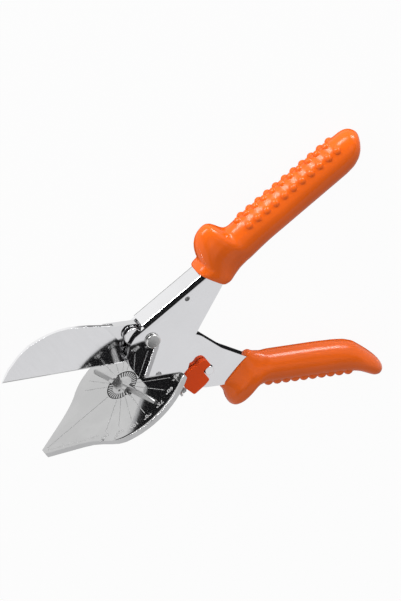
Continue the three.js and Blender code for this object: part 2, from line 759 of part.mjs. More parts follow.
function latch() {
  const half = latchWidth / 2;
  let body = sideSlab(roundedPolygon(latchShares.map(latchPlace).toReversed(), latchCorner), -half, half);
  const slotHalf = leverThickness / 2 + gap;
  const moved = (x) => grow(lowerLeverOutline(), gap).map(([a, b]) => [a + x, b]);
  [0, latchTravel / 2, latchTravel].forEach((x) => {
    body = body.subtract(sideSlab(polygon(moved(x)), -slotHalf, slotHalf));
  });
  body = body.subtract(crossRod(latchNotch, ...latchPinPlace, -channelWidth, channelWidth));
  body = body.subtract(longRod(guideRadius + gap, 0, guideZ, guideStart, guideTip + overrun));
  add('latch', body, latchPlastic);

  const pinEnd = leverThickness / 2 + latchPinProud;
  add('latch_pin', crossRod(latchPinRadius, ...latchPinPlace, -pinEnd, pinEnd), fastener);

  let screw = longRod(guideRadius, 0, guideZ, guideStart, guideTip);
  screw = screw.add(longRod(guideHead, 0, guideZ, guideStart, guideStart + guideHeadHeight));
  add('latch_screw', screw, fastener);

  const points = [];
  const startX = guideStart + guideHeadHeight + gap + coilWire;
  const endX = latchFront - gap - coilWire;
  for (let i = 0; i <= coilTurns * wireSteps; i += 1) {
    const angle = i / wireSteps * 2 * Math.PI;
    points.push(new THREE.Vector3(
      startX + (endX - startX) * (i / (coilTurns * wireSteps)),
      Math.cos(angle) * coilRadius,
      guideZ + Math.sin(angle) * coilRadius,
    ));
  }
  console.log('latch_spring least gap to itself', leastGap(points, coilWire).toFixed(2), 'mm');
  add('latch_spring', wire(points, coilWire), fastener);
}

// Pivot pin with its round head on the near side, its nut on the far side and a washer in each gap
function pivot() {
  const headY = -channelHalf - gap;
  const profile = [
    [0, 0], [pinHeadRadius - pinHeadRound, 0], [pinHeadRadius, pinHeadRound],
    [pinHeadRadius, pinHeadHeight], [pinRadius, pinHeadHeight],
    [pinRadius, pinHeadHeight + channelWidth + 3 * gap + nutHeight],
    [0, pinHeadHeight + channelWidth + 3 * gap + nutHeight],
  ];
  const pin = new THREE.LatheGeometry(profile.map(([r, y]) => new THREE.Vector2(r, y)), roundSteps);
  pin.translate(pivotX, headY - pinHeadHeight, pivotZ);
  add('pivot_pin', solid(pin), fastener);
  const nutY = channelHalf + gap;
  let nut = crossRod(hexWidthToRadius(nutWidth), pivotX, pivotZ, nutY, nutY + nutHeight - gap, hexSides);
  nut = nut.subtract(crossRod(pinRadius + gap, pivotX, pivotZ, 0, channelWidth));
  add('pivot_nut', nut, fastener);
  [['near', -1], ['far', 1]].forEach(([name, way]) => {
    const middle = way * (innerHalf + leverThickness / 2) / 2;
    let washer = crossRod(
      washerRadius, pivotX, pivotZ, middle - washerThickness / 2, middle + washerThickness / 2,
    );
    washer = washer.subtract(crossRod(pinRadius + gap, pivotX, pivotZ, -channelWidth, channelWidth));
    add(`pivot_washer_${name}`, washer, fastener);
  });
}

// Screw and nut that clamp the blade in the lever's nose
function bladeScrew() {
  const noseHalf = noseThickness / 2;
  const headY = -noseHalf - gap;
  let screw = crossRod(bladeScrewRadius, ...screwPlace, headY - gap, noseHalf + gap + bladeNutHeight);
  screw = screw.add(crossRod(bladeScrewHead, ...screwPlace, headY - bladeScrewHeadHeight, headY));
  screw = screw.subtract(crossRod(
    bladeScrewRadius, ...screwPlace, headY - bladeScrewHeadHeight - overrun,
    headY - bladeScrewHeadHeight + headRecess, hexSides,
  ));
  add('blade_screw', screw, fastener);
  const nutY = noseHalf + gap;
  let nut = crossRod(hexWidthToRadius(bladeNutWidth), ...screwPlace, nutY, nutY + bladeNutHeight, hexSides);
  nut = nut.subtract(crossRod(bladeScrewRadius + gap, ...screwPlace, 0, channelWidth));
  add('blade_nut', nut, fastener);
}

// The spring that opens the jaw: a coil on its own pin, with a leg on each lever
function openingSpring() {
  add('spring_pin', crossRod(springPinRadius, springPinX, springPinZ, -channelHalf, channelHalf), fastener);
  const points = [];
  const steps = Math.round((springTurns + (lowerLegAngle - Math.PI / 2) / (2 * Math.PI)) * wireSteps);
  const startAngle = Math.PI / 2;
  const coilLength = springTurns * springPitch;
  const place = (angle, y) => new THREE.Vector3(
    springPinX + Math.cos(angle) * springRadius, y, springPinZ + Math.sin(angle) * springRadius,
  );
  const firstY = -coilLength / 2;
  const start = place(startAngle, firstY);
  points.push(start.clone().add(new THREE.Vector3(-upperLegLength, 0, 0)));
  points.push(start.clone().add(new THREE.Vector3(-upperLegLength / 2, 0, 0)));
  for (let i = 0; i <= steps; i += 1) {
    const angle = startAngle - i / wireSteps * 2 * Math.PI;
    points.push(place(angle, firstY + coilLength * (i / steps)));
  }
  const last = points[points.length - 1];
  const before = points[points.length - 2];
  const along = last.clone().sub(before).setY(0).normalize();
  points.push(last.clone().addScaledVector(along, lowerLegLength / 2));
  points.push(last.clone().addScaledVector(along, lowerLegLength));
  console.log('opening_spring least gap to itself', leastGap(points, springWire).toFixed(2), 'mm');
  add('opening_spring', wire(points, springWire), fastener);
}

function upperGrip() {
  let grip = gripSolid(
    upperGripShares, upperGripLength, gripHeight, gripWidth, upperLean, upperLeanShare,
  ).translate([upperGripStart, 0, upperGripZ]);
  studRows.forEach((tilt, row) => {
    const angle = THREE.MathUtils.degToRad(tilt);
    for (let i = 0; i < studCount; i += 1) {
      const geometry = new THREE.SphereGeometry(studRadius, studSides, studRings);
      geometry.scale(1, 1, studHeight / studRadius * 2);
      geometry.translate(0, 0, -studHeight);
      geometry.rotateX(-angle);
      geometry.translate(
        studFirst + (i - (row % 2) / 2) * studPitch,
        Math.sin(angle) * gripWidth,
        upperGripZ + Math.cos(angle) * gripHeight,
      );
      grip = grip.add(solid(geometry));
    }
  });
  const room = sideSlab(polygon(grow(channelOutline(), gap)), -channelHalf - gap, channelHalf + gap);
  const hollow = channelSection(innerHalf - gap, spineInner - gap, channelCorner - channelWall);
  const core = longBar(hollow, upperGripStart + upperTangTaper, upperGripEnd);
  grip = grip.subtract(room.subtract(core));
  add('upper_grip', grip, gripPlastic);
}

function lowerGrip() {
  let grip = gripSolid(
    lowerGripShares, lowerGripLength, lowerGripHeight, lowerGripWidth, lowerLean, lowerLeanShare,
  );
  for (let i = 0; i < ribCount; i += 1) {
    const geometry = new THREE.CylinderGeometry(ribRadius, ribRadius, lowerGripWidth, ribSides);
    geometry.translate(lowerRimBack + ribFirst + i * ribPitch, 0, ribRadius - ribHeight - lowerGripHeight * ribBaseShare);
    grip = grip.add(solid(geometry));
  }
  grip = grip
    .translate([-lowerRimBack, 0, 0])
    .rotate([0, THREE.MathUtils.radToDeg(lowerGripDrop), 0])
    .translate([pivotX + lowerGripX, 0, pivotZ - lowerGripZ]);
  const half = leverThickness / 2 + gap;
  grip = grip.subtract(sideSlab(polygon(grow(lowerLeverOutline(), gap)), -half, half));
  add('lower_grip', grip, gripPlastic);
}

// Lays the tool on its far side, on the three places where it touches the bench
function layDown(names) {
  const down = (up) => names.map((name) => {
    const places = tool.getObjectByName(name).geometry.attributes.position;
    let lowest = null;
    for (let i = 0; i < places.count; i += 1) {
      const place = new THREE.Vector3().fromBufferAttribute(places, i);
      if (lowest === null || place.dot(up) < lowest.dot(up)) {
        lowest = place;
      }
    }
    return lowest;
  });
  const up = new THREE.Vector3(0, -1, 0);
  for (let i = 0; i < roundSteps; i += 1) {
    const [a, b, c] = down(up);
    const normal = b.clone().sub(a).cross(c.clone().sub(a)).normalize();
    up.copy(normal.y < 0 ? normal : normal.negate());
  }
  const along = new THREE.Vector3(1, 0, 0);
  along.addScaledVector(up, -along.dot(up)).normalize();
  const turn = new THREE.Matrix4().makeBasis(along, up.clone().cross(along), up).transpose();
  tool.quaternion.setFromRotationMatrix(turn);
  tool.updateMatrixWorld(true);
  const bounds = new THREE.Box3().setFromObject(tool, true);
  const middle = bounds.getCenter(new THREE.Vector3());
  tool.position.set(-middle.x, -middle.y, -bounds.min.z);
  tool.updateMatrixWorld(true);
}

upperLever();
anvilPlate();
mitreFence();
blade();
lowerLever();
latch();
pivot();
bladeScrew();
openingSpring();
upperGrip();
lowerGrip();
layDown(['anvil_plate', 'upper_grip', 'lower_grip']);

export default tool;
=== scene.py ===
import json
import math

import bpy
from mathutils import Matrix, Vector


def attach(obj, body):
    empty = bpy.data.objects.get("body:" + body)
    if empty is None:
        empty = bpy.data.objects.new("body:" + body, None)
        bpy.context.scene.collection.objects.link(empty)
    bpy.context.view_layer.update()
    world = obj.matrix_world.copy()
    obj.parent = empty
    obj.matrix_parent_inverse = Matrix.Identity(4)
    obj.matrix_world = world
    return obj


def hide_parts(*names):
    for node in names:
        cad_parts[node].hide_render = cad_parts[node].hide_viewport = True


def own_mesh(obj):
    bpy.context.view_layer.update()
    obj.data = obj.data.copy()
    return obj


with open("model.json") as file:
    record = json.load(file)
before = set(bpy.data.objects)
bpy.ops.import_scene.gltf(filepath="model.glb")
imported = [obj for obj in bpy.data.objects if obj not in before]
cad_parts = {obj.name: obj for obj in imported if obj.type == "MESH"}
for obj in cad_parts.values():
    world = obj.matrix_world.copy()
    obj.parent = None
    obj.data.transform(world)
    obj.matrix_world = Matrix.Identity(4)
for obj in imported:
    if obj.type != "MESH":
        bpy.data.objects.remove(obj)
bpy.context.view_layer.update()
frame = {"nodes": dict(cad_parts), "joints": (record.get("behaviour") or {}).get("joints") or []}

bl_info = {
    "name": "Mitre shears",
    "version": (1, 0, 0),
    "blender": (4, 5, 0),
    "location": "3D View > Sidebar > Mitre shears",
    "description": "Finishes the mitre shears: bright steel, moulded grips, engraved plate and springs",
    "category": "Mesh",
}

MM = 0.001

# What counts as one place and as one flat face, and how far a face's normal leans along a direction
SAME_PLACE = 0.01 * MM
ONE_FLAT = math.radians(1.0)
SQUARE_ON = 0.995
FACING = 0.9
LEANING = 0.5
ALONGSIDE = 0.1

# Overrun of a cutting solid and margin of a choice by place, in millimetres, and the sides of a plain rod
OVERRUN = 1.0
PICK_MARGIN = 0.1
ROD_SIDES = 96

# The tool's own frame: X from the jaws to the grips, -Y the side with the round pin head, Z off the plate
JOINTS = {joint["name"]: joint for joint in frame["joints"]}
ACROSS = Vector(JOINTS["jaw_pivot"]["axis"]).normalized()
OFF_PLATE = Vector(JOINTS["fence_turn"]["axis"]).normalized()
ALONG = OFF_PLATE.cross(ACROSS).normalized()
FENCE_CENTRE = Vector(JOINTS["fence_turn"]["pos_m"])
TOOL = Matrix.Translation(FENCE_CENTRE) @ Matrix((ALONG, -ACROSS, OFF_PLATE)).transposed().to_4x4()
INTO_TOOL = TOOL.inverted()
PIVOT = INTO_TOOL @ Vector(JOINTS["jaw_pivot"]["pos_m"])

# The photograph: its size, the pixel of the fence's centre and the pixels to a millimetre there
PHOTO_SIZE = (401, 601)
FENCE_PIXEL = (122, 385)
PIXELS_PER_MM = 1.636
LENS = 400.0
SENSOR = 36.0
VIEW_FROM = (0.8 * ACROSS + 0.6 * OFF_PLATE).normalized()
VIEW_RIGHT = (0.763 * ALONG + 0.387 * ACROSS - 0.516 * OFF_PLATE).normalized()
VIEW_UP = VIEW_FROM.cross(VIEW_RIGHT)

# Finishes by name, filled by the operator that makes them
FINISHES = {}


class MitreShearsSizes(bpy.types.PropertyGroup):
    """Sizes and colours that a user would change."""

    edge_rounding: bpy.props.FloatProperty(
        name="Edge rounding", description="Rounding of the cast and pressed edges",
        default=0.25 * MM, min=0.0, unit="LENGTH",
    )
    rim_width: bpy.props.FloatProperty(
        name="Rim width", description="Width of the sloped rim round the plate's face",
        default=1.4 * MM, min=0.0, unit="LENGTH",
    )
    rim_fall: bpy.props.FloatProperty(
        name="Rim fall", description="How far the plate's rim falls to its edge",
        default=0.4 * MM, min=0.0, unit="LENGTH",
    )
    line_width: bpy.props.FloatProperty(
        name="Line width", description="Width of the protractor's grooves",
        default=0.4 * MM, min=0.0, unit="LENGTH",
    )
    line_depth: bpy.props.FloatProperty(
        name="Line depth", description="Depth of the protractor's grooves",
        default=0.16 * MM, min=0.0, unit="LENGTH",
    )
    label_size: bpy.props.FloatProperty(
        name="Number size", description="Height of a line of the protractor's numbers",
        default=4.2 * MM, min=0.0, unit="LENGTH",
    )
    tooth_count: bpy.props.IntProperty(
        name="Teeth", description="Number of locating teeth round the fence's disc", default=32, min=3,
    )
    tooth_depth: bpy.props.FloatProperty(
        name="Tooth depth", description="Depth of the slots between the locating teeth",
        default=0.8 * MM, min=0.0, unit="LENGTH",
    )
    stud_radius: bpy.props.FloatProperty(
        name="Stud radius", description="Radius of a stud of the upper grip where it meets the skin",
        default=2.15 * MM, min=0.0, unit="LENGTH",
    )
    stud_height: bpy.props.FloatProperty(
        name="Stud height", description="How far a stud stands off the upper grip",
        default=1.0 * MM, min=0.0, unit="LENGTH",
    )
    rib_rise: bpy.props.FloatProperty(
        name="Rib rise", description="How far a rib stands off the lower grip",
        default=0.75 * MM, min=0.0, unit="LENGTH",
    )
    grip_colour: bpy.props.FloatVectorProperty(
        name="Grip colour", description="Colour of the moulded grips",
        default=(0.92, 0.135, 0.001), size=3, min=0.0, max=1.0, subtype="COLOR",
    )
    latch_colour: bpy.props.FloatVectorProperty(
        name="Latch colour", description="Colour of the latch",
        default=(0.9, 0.075, 0.001), size=3, min=0.0, max=1.0, subtype="COLOR",
    )
    steel_colour: bpy.props.FloatVectorProperty(
        name="Steel colour", description="Colour of the polished levers",
        default=(0.84, 0.84, 0.85), size=3, min=0.0, max=1.0, subtype="COLOR",
    )


# Modelling helpers
def clear_selection():
    """Leaves edit mode and deselects everything."""
    active = bpy.context.view_layer.objects.active
    if active is not None and active.mode != "OBJECT":
        bpy.ops.object.mode_set(mode="OBJECT")
    bpy.ops.object.select_all(action="DESELECT")


def pick(*objects):
    """Selects these objects only and makes the first one active."""
    clear_selection()
    for obj in objects:
        obj.select_set(True)
    bpy.context.view_layer.objects.active = objects[0]


def named(name):
    """The object that the last operator added, under its own name."""
    obj = bpy.context.object
    obj.name = name
    obj.data.name = name
    return obj


def select_parts(obj, kind, test):
    """Goes into edit mode with those faces, edges or points selected that pass a test."""
    pick(obj)
    bpy.ops.object.mode_set(mode="EDIT")
    bpy.ops.mesh.select_mode(type=kind)
    bpy.ops.mesh.select_all(action="DESELECT")
    bpy.ops.object.mode_set(mode="OBJECT")
    parts = {"FACE": obj.data.polygons, "EDGE": obj.data.edges, "VERT": obj.data.vertices}[kind]
    for part in parts:
        part.select = test(part)
    bpy.ops.object.mode_set(mode="EDIT")


def leave_edit():
    """Goes back to object mode."""
    bpy.ops.object.mode_set(mode="OBJECT")


def modify(obj, kind, **settings):
    """Adds a modifier with its settings and applies it."""
    pick(obj)
    made = obj.modifiers.new(kind.lower(), kind)
    for name, value in settings.items():
        setattr(made, name, value)
    bpy.ops.object.modifier_apply(modifier=made.name)


def cut(obj, tool, operation="DIFFERENCE", solver="EXACT"):
    """Cuts or joins a solid with another one, which is then removed."""
    modify(obj, "BOOLEAN", operation=operation, solver=solver, object=tool)
    bpy.data.objects.remove(tool)


def join(objects, name):
    """Joins pieces into one object with a name."""
    pick(*objects)
    if len(objects) > 1:
        bpy.ops.object.join()
    return named(name)


def node_copy(node, name):
    """A copy of a node's solid in the tool's frame, with whole faces instead of loose triangles."""
    obj = bpy.data.objects.new(name, frame["nodes"][node].data.copy())
    bpy.context.scene.collection.objects.link(obj)
    obj.data.materials.clear()
    obj.data.transform(INTO_TOOL)
    pick(obj)
    if obj.data.has_custom_normals:
        bpy.ops.mesh.customdata_custom_splitnormals_clear()
    bpy.ops.object.mode_set(mode="EDIT")
    bpy.ops.mesh.select_all(action="SELECT")
    bpy.ops.mesh.remove_doubles(threshold=SAME_PLACE)
    bpy.ops.mesh.dissolve_limited(angle_limit=ONE_FLAT)
    bpy.ops.object.mode_set(mode="OBJECT")
    return obj


def soften_edges(obj, width, segments=2, angle=28.0):
    """Breaks the sharp edges of a solid, as the real piece's are."""
    modify(obj, "BEVEL", width=width, segments=segments, limit_method="ANGLE",
           angle_limit=math.radians(angle), use_clamp_overlap=True)


def smooth_shading(obj, angle=35.0, weighted=True):
    """Shades a piece smooth up to an angle, and lets its larger faces lead its normals."""
    pick(obj)
    bpy.ops.object.shade_smooth_by_angle(angle=math.radians(angle))
    if weighted:
        modify(obj, "WEIGHTED_NORMAL", mode="FACE_AREA", weight=90, keep_sharp=True)


def seat(obj, body, slot, finish, *nodes, shading=35.0, weighted=True):
    """Puts a finished piece from the tool's frame in its place, on its body, with its finish."""
    obj.data.transform(TOOL)
    obj.data.update()
    obj.data.materials.clear()
    obj.data.materials.append(FINISHES[finish])
    smooth_shading(obj, shading, weighted)
    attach(obj, body)
    if nodes:
        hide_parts(*nodes)


def add_bar(low, high):
    """A box between two corners in the tool's frame, given in millimetres."""
    low, high = Vector(low) * MM, Vector(high) * MM
    bpy.ops.mesh.primitive_cube_add(size=1.0, location=(low + high) / 2, scale=high - low)
    bpy.ops.object.transform_apply(location=True, rotation=True, scale=True)
    return bpy.context.object


def add_rod(radius, bottom, top, place=(0, 0), sides=ROD_SIDES):
    """An upright round rod in the tool's frame, in millimetres."""
    bpy.ops.mesh.primitive_cylinder_add(
        vertices=sides, radius=radius * MM, depth=(top - bottom) * MM,
        location=Vector((place[0], place[1], (bottom + top) / 2)) * MM,
    )
    bpy.ops.object.transform_apply(location=True, rotation=True, scale=True)
    return bpy.context.object


def add_cross_rod(radius, start, end, place):
    """A round rod across the tool between two sideways places, in millimetres, about a point."""
    bpy.ops.mesh.primitive_cylinder_add(
        vertices=ROD_SIDES, radius=radius * MM, depth=(end - start) * MM, rotation=(math.pi / 2, 0, 0),
        location=(place.x, (start + end) / 2 * MM, place.z),
    )
    bpy.ops.object.transform_apply(location=True, rotation=True, scale=True)
    return bpy.context.object


def copies(piece, places):
    """A copy of a small piece at each place, with a mesh of its own; the first one is taken away."""
    made = []
    for place in places:
        one = piece.copy()
        one.data = piece.data.copy()
        one.data.transform(place)
        bpy.context.scene.collection.objects.link(one)
        made.append(one)
    bpy.data.objects.remove(piece)
    return made


def turned(degrees):
    """A turn about the upright line through the fence's centre."""
    return Matrix.Rotation(math.radians(degrees), 4, "Z")


def tool_box(node):
    """Lowest and highest corner of a node in the tool's frame, in metres."""
    places = [INTO_TOOL @ point.co for point in frame["nodes"][node].data.vertices]
    low = Vector([min(place[k] for place in places) for k in range(3)])
    high = Vector([max(place[k] for place in places) for k in range(3)])
    return low, high


# Shader signals, which can be written as sums
class Signal:
    """A socket of a material's node, which takes part in Python sums."""

    def __init__(self, finish, socket):
        self.finish = finish
        self.socket = socket

    def sum(self, operation, first, second):
        """Adds a Math node for two values."""
        node = self.finish.node("ShaderNodeMath", {"operation": operation}, {0: first, 1: second})
        return Signal(self.finish, node.outputs[0])

    def __add__(self, other):
        return self.sum("ADD", self, other)

    def __radd__(self, other):
        return self.sum("ADD", other, self)

    def __sub__(self, other):
        return self.sum("SUBTRACT", self, other)

    def __rsub__(self, other):
        return self.sum("SUBTRACT", other, self)

    def __mul__(self, other):
        return self.sum("MULTIPLY", self, other)

    def __rmul__(self, other):
        return self.sum("MULTIPLY", other, self)

    def __abs__(self):
        return self.sum("ABSOLUTE", self, 0.0)

    def larger(self, other):
        """The larger of two values."""
        return self.sum("MAXIMUM", self, other)


class Finish:
    """A material or world whose nodes are all made by one method."""

    def __init__(self, owner):
        self.owner = owner
        owner.use_nodes = True
        self.tree = owner.node_tree
        self.tree.nodes.clear()

    def node(self, kind, settings=None, values=None):
        """Makes a node with its settings first and then the values or links of its sockets."""
        made = self.tree.nodes.new(kind)
        for name, value in (settings or {}).items():
            if name == "stops":
                for stop, (place, colour) in zip(made.color_ramp.elements, value):
                    stop.position = place
                    stop.color = colour
            else:
                setattr(made, name, value)
        for name, value in (values or {}).items():
            if isinstance(value, Signal):
                value = value.socket
            if isinstance(value, bpy.types.NodeSocket):
                self.tree.links.new(value, made.inputs[name])
            else:
                made.inputs[name].default_value = value
        return made

    def places(self, scale=(1, 1, 1)):
        """The surface's own places in the tool's frame, stretched by a scale."""
        coordinates = self.node("ShaderNodeTexCoord")
        in_tool = self.node("ShaderNodeMapping", {"vector_type": "POINT"}, {
            "Vector": coordinates.outputs["Object"], "Rotation": INTO_TOOL.to_euler(),
        })
        stretched = self.node("ShaderNodeMapping", {"vector_type": "POINT"}, {
            "Vector": in_tool.outputs["Vector"], "Scale": scale,
        })
        return stretched.outputs["Vector"]

    def noise(self, scale, stretch=(1, 1, 1), detail=3.0, roughness=0.55):
        """Noise on the surface, from about 0 to 1."""
        made = self.node("ShaderNodeTexNoise", {}, {
            "Vector": self.places(stretch), "Scale": scale, "Detail": detail, "Roughness": roughness,
        })
        return Signal(self, made.outputs["Fac"])

    def step(self, value, low, high, low_value=0.0, high_value=1.0):
        """A value carried smoothly from one level to another between two marks."""
        made = self.node("ShaderNodeMapRange", {"interpolation_type": "SMOOTHSTEP"}, {
            "Value": value, "From Min": low, "From Max": high, "To Min": low_value, "To Max": high_value,
        })
        return Signal(self, made.outputs["Result"])

    def blend(self, share, first, second):
        """One colour blended into another by a share."""
        made = self.node("ShaderNodeMix", {"data_type": "RGBA"}, {"Factor": share})
        for socket, value in zip((made.inputs[6], made.inputs[7]), (first, second)):
            if isinstance(value, bpy.types.NodeSocket):
                self.tree.links.new(value, socket)
            else:
                socket.default_value = (*value, 1.0)
        return made.outputs[2]

    def bump(self, height, strength, distance):
        """The normal of a surface that a height raises."""
        made = self.node("ShaderNodeBump", {}, {"Height": height, "Strength": strength, "Distance": distance})
        return made.outputs["Normal"]

    def finish_surface(self, values):
        """Ends a material with its one shader."""
        shader = self.node("ShaderNodeBsdfPrincipled", {}, values)
        self.node("ShaderNodeOutputMaterial", {}, {"Surface": shader.outputs["BSDF"]})
        return self.owner


def new_finish(name):
    """A finish on a new material."""
    return Finish(bpy.data.materials.new(name))


NOISE_MIDDLE = 0.5
METAL_CLOUD_SCALE = 45.0
METAL_CLOUD_MARKS = (0.35, 0.7)
METAL_CLOUD_SHARE = 0.8
METAL_GRAIN_SHARE = 0.5
METAL_GRAIN_STRENGTH = 0.5
MOULDING_CLOUD_SCALE = 28.0
MOULDING_CLOUD_MARKS = (0.3, 0.72)
MOULDING_DEEPER_SHARE = 0.92
MOULDING_SKIN_SHARE = 0.06
MOULDING_SKIN_STRENGTH = 0.3


def metal_finish(name, colour, roughness, grain=(1, 1, 1), grain_scale=900.0, grain_height=0.004 * MM,
                 wear=0.04):
    """Bright metal: faint grain, slow cloudiness of the polish and fine wear."""
    finish = new_finish(name)
    clouds = finish.noise(METAL_CLOUD_SCALE, detail=4.0)
    lines = finish.noise(grain_scale, grain, detail=2.0)
    cloudy = (clouds - NOISE_MIDDLE) * (roughness * METAL_CLOUD_SHARE)
    rough = roughness + cloudy + (lines - NOISE_MIDDLE) * (roughness * METAL_GRAIN_SHARE)
    darker = tuple(channel * (1 - wear) for channel in colour)
    shade = finish.blend(finish.step(clouds, *METAL_CLOUD_MARKS), darker, tuple(colour))
    return finish.finish_surface({
        "Base Color": shade, "Metallic": 1.0, "Roughness": rough,
        "Normal": finish.bump(lines, METAL_GRAIN_STRENGTH, grain_height),
    })


def moulding_finish(name, colour, roughness, grain_scale, grain_height, gloss):
    """Moulded plastic: a slight unevenness of the colour and a very fine orange peel."""
    finish = new_finish(name)
    clouds = finish.noise(MOULDING_CLOUD_SCALE, detail=3.0)
    skin = finish.noise(grain_scale, detail=3.0)
    deeper = tuple(channel * MOULDING_DEEPER_SHARE for channel in colour)
    shade = finish.blend(finish.step(clouds, *MOULDING_CLOUD_MARKS), deeper, tuple(colour))
    return finish.finish_surface({
        "Base Color": shade, "Specular IOR Level": gloss,
        "Roughness": roughness + (skin - NOISE_MIDDLE) * MOULDING_SKIN_SHARE,
        "Normal": finish.bump(skin, MOULDING_SKIN_STRENGTH, grain_height),
    })


PLATE_COLOUR = (0.57, 0.57, 0.57)
FENCE_COLOUR = (0.54, 0.54, 0.54)
BLADE_COLOUR = (0.88, 0.88, 0.89)
FASTENER_COLOUR = (0.55, 0.55, 0.55)
PIN_COLOUR = (0.76, 0.76, 0.75)
SPRING_COLOUR = (0.5, 0.5, 0.5)
MARK_COLOUR = (0.36, 0.36, 0.36)
# Painted shade: near black, for the fence's tooth slots and the gap round its disc, where there is only shade
PAINTED_SHADE_COLOUR = (0.02, 0.02, 0.02)

NODE_SLOTS = {
    "upper_lever": "polished_steel", "lower_lever": "polished_steel", "anvil_plate": "plate_metal",
    "mitre_fence": "fence_metal", "blade": "blade_steel", "upper_grip": "orange_grip",
    "lower_grip": "orange_grip", "latch": "orange_latch", "latch_spring": "spring_steel",
    "opening_spring": "spring_steel",
}


class FinishesOperator(bpy.types.Operator):
    """Make the finishes and give each solid its own."""

    bl_idname = "mitre_shears.finishes"
    bl_label = "Finishes"

    def execute(self, context):
        sizes = context.scene.mitre_shears
        FINISHES.update({
            "polished_steel": metal_finish(
                "polished_steel_finish", sizes.steel_colour, roughness=0.07, grain=(0.15, 1, 1),
            ),
            "plate_metal": metal_finish(
                "plate_metal_finish", PLATE_COLOUR, roughness=0.1, grain_scale=700.0,
                grain_height=0.002 * MM, wear=0.08,
            ),
            "fence_metal": metal_finish(
                "fence_metal_finish", FENCE_COLOUR, roughness=0.38, grain_scale=1100.0,
                grain_height=0.01 * MM, wear=0.1,
            ),
            "blade_steel": metal_finish(
                "blade_steel_finish", BLADE_COLOUR, roughness=0.08, grain=(1, 1, 0.1),
            ),
            "fastener_steel": metal_finish(
                "fastener_steel_finish", FASTENER_COLOUR, roughness=0.4, grain_scale=1500.0,
                grain_height=0.012 * MM, wear=0.12,
            ),
            "pin_steel": metal_finish(
                "pin_steel_finish", PIN_COLOUR, roughness=0.3, grain_scale=1500.0,
            ),
            "spring_steel": metal_finish(
                "spring_steel_finish", SPRING_COLOUR, roughness=0.22, grain_scale=1500.0,
            ),
            "etched_marks": moulding_finish(
                "etched_marks_finish", MARK_COLOUR, roughness=0.7, grain_scale=2500.0,
                grain_height=0.01 * MM, gloss=0.2,
            ),
            # A near black matte finish for the sheets of painted shade in the fence's tooth slots and round
            # its disc
            "painted_shade": moulding_finish(
                "dark_oxide_finish", PAINTED_SHADE_COLOUR, roughness=0.6, grain_scale=2500.0,
                grain_height=0.01 * MM, gloss=0.2,
            ),
            "orange_grip": moulding_finish(
                "orange_grip_finish", sizes.grip_colour, roughness=0.26, grain_scale=900.0,
                grain_height=0.006 * MM, gloss=0.4,
            ),
            "orange_latch": moulding_finish(
                "orange_latch_finish", sizes.latch_colour, roughness=0.4, grain_scale=1200.0,
                grain_height=0.012 * MM, gloss=0.3,
            ),
        })
        for name, node in frame["nodes"].items():
            node.data.materials.clear()
            node.data.materials.append(FINISHES[NODE_SLOTS.get(name, "fastener_steel")])
        return {"FINISHED"}


# The stage. Each pair says where a part of the studio starts and is whole, as a share along a direction
DARK_FRONT = (math.cos(math.radians(73.0)), math.cos(math.radians(70.5)))
BESIDE = (0.06, 0.1)
WINDOW = (0.87, 0.92)
END_WINDOW = (0.56, 0.66)
DARK_BELOW = (0.66, 0.74)
BELOW_REACH = (-0.2, 0.05)
WALL_RISE = (-0.3, 0.3)
GREY_BEHIND = (0.74, 0.86)
WHITE = (1.0, 1.0, 1.0)
LOW_WALL_COLOUR = (0.8, 0.8, 0.81)
BEHIND_COLOUR = (0.42, 0.42, 0.42)
DARK_COLOUR = (0.012, 0.012, 0.013)
SOFT_LOW_COLOUR = (0.36, 0.36, 0.36)
SOFT_HIGH_COLOUR = (0.86, 0.86, 0.86)
SOFT_LEAN = 0.3
FLOOR_SIZE = 12.0
FLOOR_DROP = 0.2
FLOOR_COLOUR = (0.8, 0.8, 0.8)
FLOOR_GLOW = 0.95

# The lamps: name, direction, distance in metres, the two sides in metres, and power in watts
LAMPS = (
    ("key", OFF_PLATE, 1.2, (0.9, 0.16), 9.0),
    ("fill", 0.875 * ALONG + 0.48 * OFF_PLATE + 0.06 * ACROSS, 1.2, (0.5, 0.3), 14.0),
)


def make_world():
    """White to the eye. To gloss, pale walls with bright windows, a dark front and floor, and a grey back."""
    world = bpy.data.worlds.new("studio")
    bpy.context.scene.world = world
    finish = Finish(world)
    direction = finish.node("ShaderNodeTexCoord").outputs["Generated"]

    def share_along(axis):
        made = finish.node("ShaderNodeVectorMath", {"operation": "DOT_PRODUCT"}, {0: direction, 1: axis})
        return Signal(finish, made.outputs["Value"])

    rays = finish.node("ShaderNodeLightPath")
    front = finish.step(share_along(VIEW_FROM), *DARK_FRONT)
    sideways = abs(share_along(ALONG))
    beside = finish.step(sideways, *BESIDE)
    above_cheeks = finish.step(share_along(ACROSS), *WINDOW) * beside
    before_plate = finish.step(share_along(OFF_PLATE), *WINDOW) * beside
    windows = above_cheeks.larger(before_plate).larger(finish.step(sideways, *END_WINDOW))
    downwards = finish.step(share_along(-ACROSS), *DARK_BELOW)
    below = downwards * finish.step(share_along(-OFF_PLATE), *BELOW_REACH)
    walls = finish.blend(finish.step(share_along(OFF_PLATE), *WALL_RISE), LOW_WALL_COLOUR, WHITE)
    behind = finish.step(share_along(-OFF_PLATE), *GREY_BEHIND)
    walls = finish.blend(behind, walls, BEHIND_COLOUR)
    studio = finish.blend((front * (1.0 - windows)).larger(below), walls, DARK_COLOUR)
    above = finish.step(share_along(OFF_PLATE - SOFT_LEAN * ACROSS), -1.0, 1.0)
    plain = finish.blend(above, SOFT_LOW_COLOUR, SOFT_HIGH_COLOUR)
    lit = finish.blend(Signal(finish, rays.outputs["Is Glossy Ray"]), plain, studio)
    shown = finish.blend(Signal(finish, rays.outputs["Is Camera Ray"]), lit, WHITE)
    background = finish.node("ShaderNodeBackground", {}, {"Color": shown, "Strength": 1.0})
    finish.node("ShaderNodeOutputWorld", {}, {"Surface": background.outputs["Background"]})


